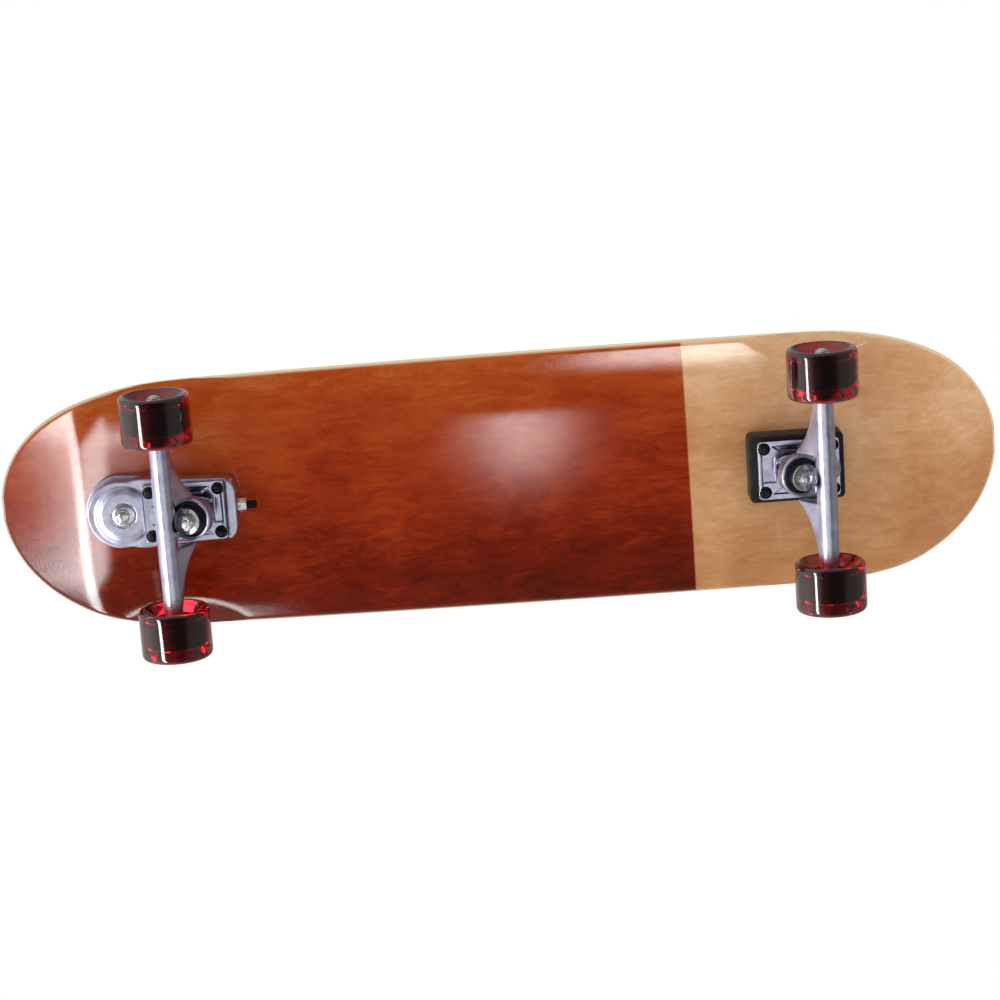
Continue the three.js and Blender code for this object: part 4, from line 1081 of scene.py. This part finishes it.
def build_camera():
    """Below the board and nearly square to it, with the nose at the left."""
    turn = Matrix.Rotation(ROLL, 3, "Z") @ Matrix.Rotation(PITCH, 3, "X") @ Matrix.Rotation(YAW, 3, "Y")
    facing_up = Matrix(((-1, 0, 0), (0, 1, 0), (0, 0, -1)))
    eye = facing_up @ (turn.transposed() @ OFF_CENTRE) + Vector((0, 0, UNDERSIDE * MM))
    data = bpy.data.cameras.new("camera")
    data.lens = LENS
    data.clip_end = 50
    camera = bpy.data.objects.new("camera", data)
    camera.matrix_world = Matrix.Translation(eye) @ (facing_up @ turn.transposed()).to_4x4()
    bpy.context.scene.collection.objects.link(camera)
    bpy.context.scene.camera = camera
    return eye


def soft_light(name, place, target, width, height, power, only=None, diffuse=True, glossy=True):
    """A rectangular softbox facing a point, itself out of sight. only limits it to a collection."""
    data = bpy.data.lights.new(name, "AREA")
    data.shape = "RECTANGLE"
    data.size = width
    data.size_y = height
    data.energy = power
    light = bpy.data.objects.new(name, data)
    away = Vector(place) - Vector(target)
    light.matrix_world = Matrix.Translation(place) @ away.to_track_quat("Z", "Y").to_matrix().to_4x4()
    light.visible_camera = False
    light.visible_diffuse = diffuse
    light.visible_glossy = glossy
    bpy.context.scene.collection.objects.link(light)
    if only:
        light.light_linking.receiver_collection = only


def shine(eye, name, point, tilt_x, tilt_y, width, height, power, only):
    """A softbox where a surface tilted this many degrees mirrors it from the point to the eye."""
    tilt = Matrix.Rotation(math.radians(-tilt_x), 3, "Y") @ Matrix.Rotation(math.radians(tilt_y), 3, "X")
    normal = tilt @ -UP
    view = (eye - point).normalized()
    reflected = 2 * view.dot(normal) * normal - view
    soft_light(name, point + BOX_DISTANCE * reflected, point, width, height, power, only, diffuse=False)


def receivers(name, objects):
    """A collection of the objects that one kind of light reaches."""
    chosen = bpy.data.collections.new(name)
    for one in objects:
        chosen.objects.link(one)
    return chosen


def build_lights(eye, deck):
    gloss = receivers("lacquer", [deck])
    bare = [one for one in bpy.data.objects if one.type == "MESH" and one.data.materials
            and re.search("alumin|steel|chrom", one.data.materials[0].name)]
    metal = receivers("metal", bare)
    under = UNDERSIDE * MM
    # The nose's bend mirrors a tall softbox as one white band across the board.
    shine(eye, "nose softbox", Vector((0.383, 0, under)), 9.5, 0, 0.34, 1.3, 15, gloss)
    # The flat middle mirrors a small panel as a grainy glare.
    shine(eye, "glare panel", Vector((-0.022, 0.05, under)), 0, 0, 0.08, 0.02, 0.34, gloss)
    # The scoops over two of the wheels mirror a panel each.
    front, rear = (AXLE_X[end] * MM for end in ENDS)
    shine(eye, "front well panel", Vector((front, -0.108, under)), 0, -11, 0.17, 0.3, 1.8, gloss)
    shine(eye, "rear well panel", Vector((rear + 0.05, 0.102, under)), 2, 10, 0.26, 0.26, 2.6, gloss)
    # Flat metal mirrors a broad panel below; the lacquer around it does not.
    shine(eye, "metal fill", Vector((0, 0, under)), 0, 0, 1.3, 1.2, 4.6, metal)
    # A narrow tall box to the nose side draws one streak down each wheel and axle housing.
    streak = Matrix.Rotation(STREAK_TURN, 3, "Y") @ Vector((eye.x, -eye.y, eye.z)).normalized()
    soft_light("streak box", 1.8 * streak, (0, 0, 0.05), 1.5, 0.26, 22, diffuse=False)
    soft_light("low fill", (1.2, -1.4, -1.6), (0, 0, 0.1), 1.6, 1.6, 8, glossy=False)
    soft_light("high key", (0.9, -1.2, 1.9), (0, 0, 0.1), 1.5, 1.5, 45, glossy=False)
    soft_light("high fill", (-1.6, 1.3, 1.4), (0, 0, 0.1), 1.5, 1.5, 22, glossy=False)


def build_world():
    """White all round to the eye; a softer surround, dim straight below, for light and reflections."""
    world = bpy.data.worlds.new("studio")
    world.use_nodes = True
    tree = world.node_tree
    tree.nodes.clear()
    path = add(tree, "ShaderNodeLightPath")
    where = add(tree, "ShaderNodeTexCoord")
    xyz = add(tree, "ShaderNodeSeparateXYZ", {}, {0: where.outputs["Generated"]})
    height = add(tree, "ShaderNodeMapRange", {"From Min": -1.0, "From Max": 1.0},
                 {"Value": xyz.outputs["Z"]})
    surround = add(tree, "ShaderNodeValToRGB", links={0: height.outputs[0]}, stops=[
        (0.0, 0.07), (0.05, 0.09), (0.1, 0.12), (0.18, 0.55), (0.3, 0.7), (0.5, 0.8), (0.75, 0.5),
        (1.0, 0.5)])
    # Reflections are brighter towards the nose than towards the tail.
    noseward = add(tree, "ShaderNodeMath", {"operation": "MULTIPLY_ADD", 1: 0.6, 2: 1.0},
                   {0: xyz.outputs["X"]})
    surround = add(tree, "ShaderNodeMixRGB", {"blend_type": "MULTIPLY", 0: 1.0}, {
        1: surround.outputs[0], 2: noseward.outputs[0]})
    around = add(tree, "ShaderNodeMixRGB", {2: (0.95, 0.95, 0.97, 1.0)}, {
        0: path.outputs["Is Diffuse Ray"], 1: surround.outputs[0]})
    seen = add(tree, "ShaderNodeMixRGB", {2: (1.0, 1.0, 1.0, 1.0)}, {
        0: path.outputs["Is Camera Ray"], 1: around.outputs[0]})
    backdrop = add(tree, "ShaderNodeBackground", {}, {"Color": seen.outputs[0]})
    add(tree, "ShaderNodeOutputWorld", {}, {"Surface": backdrop.outputs[0]})
    bpy.context.scene.world = world


def build_floor():
    """A plain pale floor under the wheels, open to a view from below."""
    reach = 20000
    floor = raw("floor", block((-reach, -reach, -0.2), (reach, reach, 0)))
    work = bmesh.new()
    work.from_mesh(floor.data)
    bmesh.ops.delete(work, geom=[f for f in work.faces if f.normal.z < 0.5], context="FACES")
    work.to_mesh(floor.data)
    work.free()
    material = bpy.data.materials.new("pale studio floor")
    material.use_nodes = True
    tree = material.node_tree
    shader = tree.nodes["Principled BSDF"]
    shader.inputs["Base Color"].default_value = linear("#e9e8e6")
    shader.inputs["Roughness"].default_value = 0.7
    behind = add(tree, "ShaderNodeNewGeometry")
    clear = add(tree, "ShaderNodeBsdfTransparent")
    either = add(tree, "ShaderNodeMixShader", {}, {
        0: behind.outputs["Backfacing"], 1: shader.outputs[0], 2: clear.outputs[0]})
    tree.links.new(either.outputs[0], tree.nodes["Material Output"].inputs["Surface"])
    floor.data.materials.append(material)
    floor.visible_shadow = False
    floor.visible_glossy = False
    floor.visible_diffuse = False
    floor.visible_transmission = False


# ---------------------------------------------------------------- the whole board

deck = build_deck()
build_grip()
build_riser()
for end, carrier in (("front", "swing_arm"), ("rear", "deck")):
    build_hanger(end)
    build_axle(end)
    build_baseplate(end, carrier)
    build_kingpin_stack(end, carrier)
    build_truck_bolts(end, carrier)
build_swing_base()
build_swing_arm()
build_pivot()
build_return_spring()
build_base_screws()
build_wheels()
build_floor()
build_world()
build_lights(build_camera(), deck)
bpy.context.scene.view_settings.view_transform = "Standard"
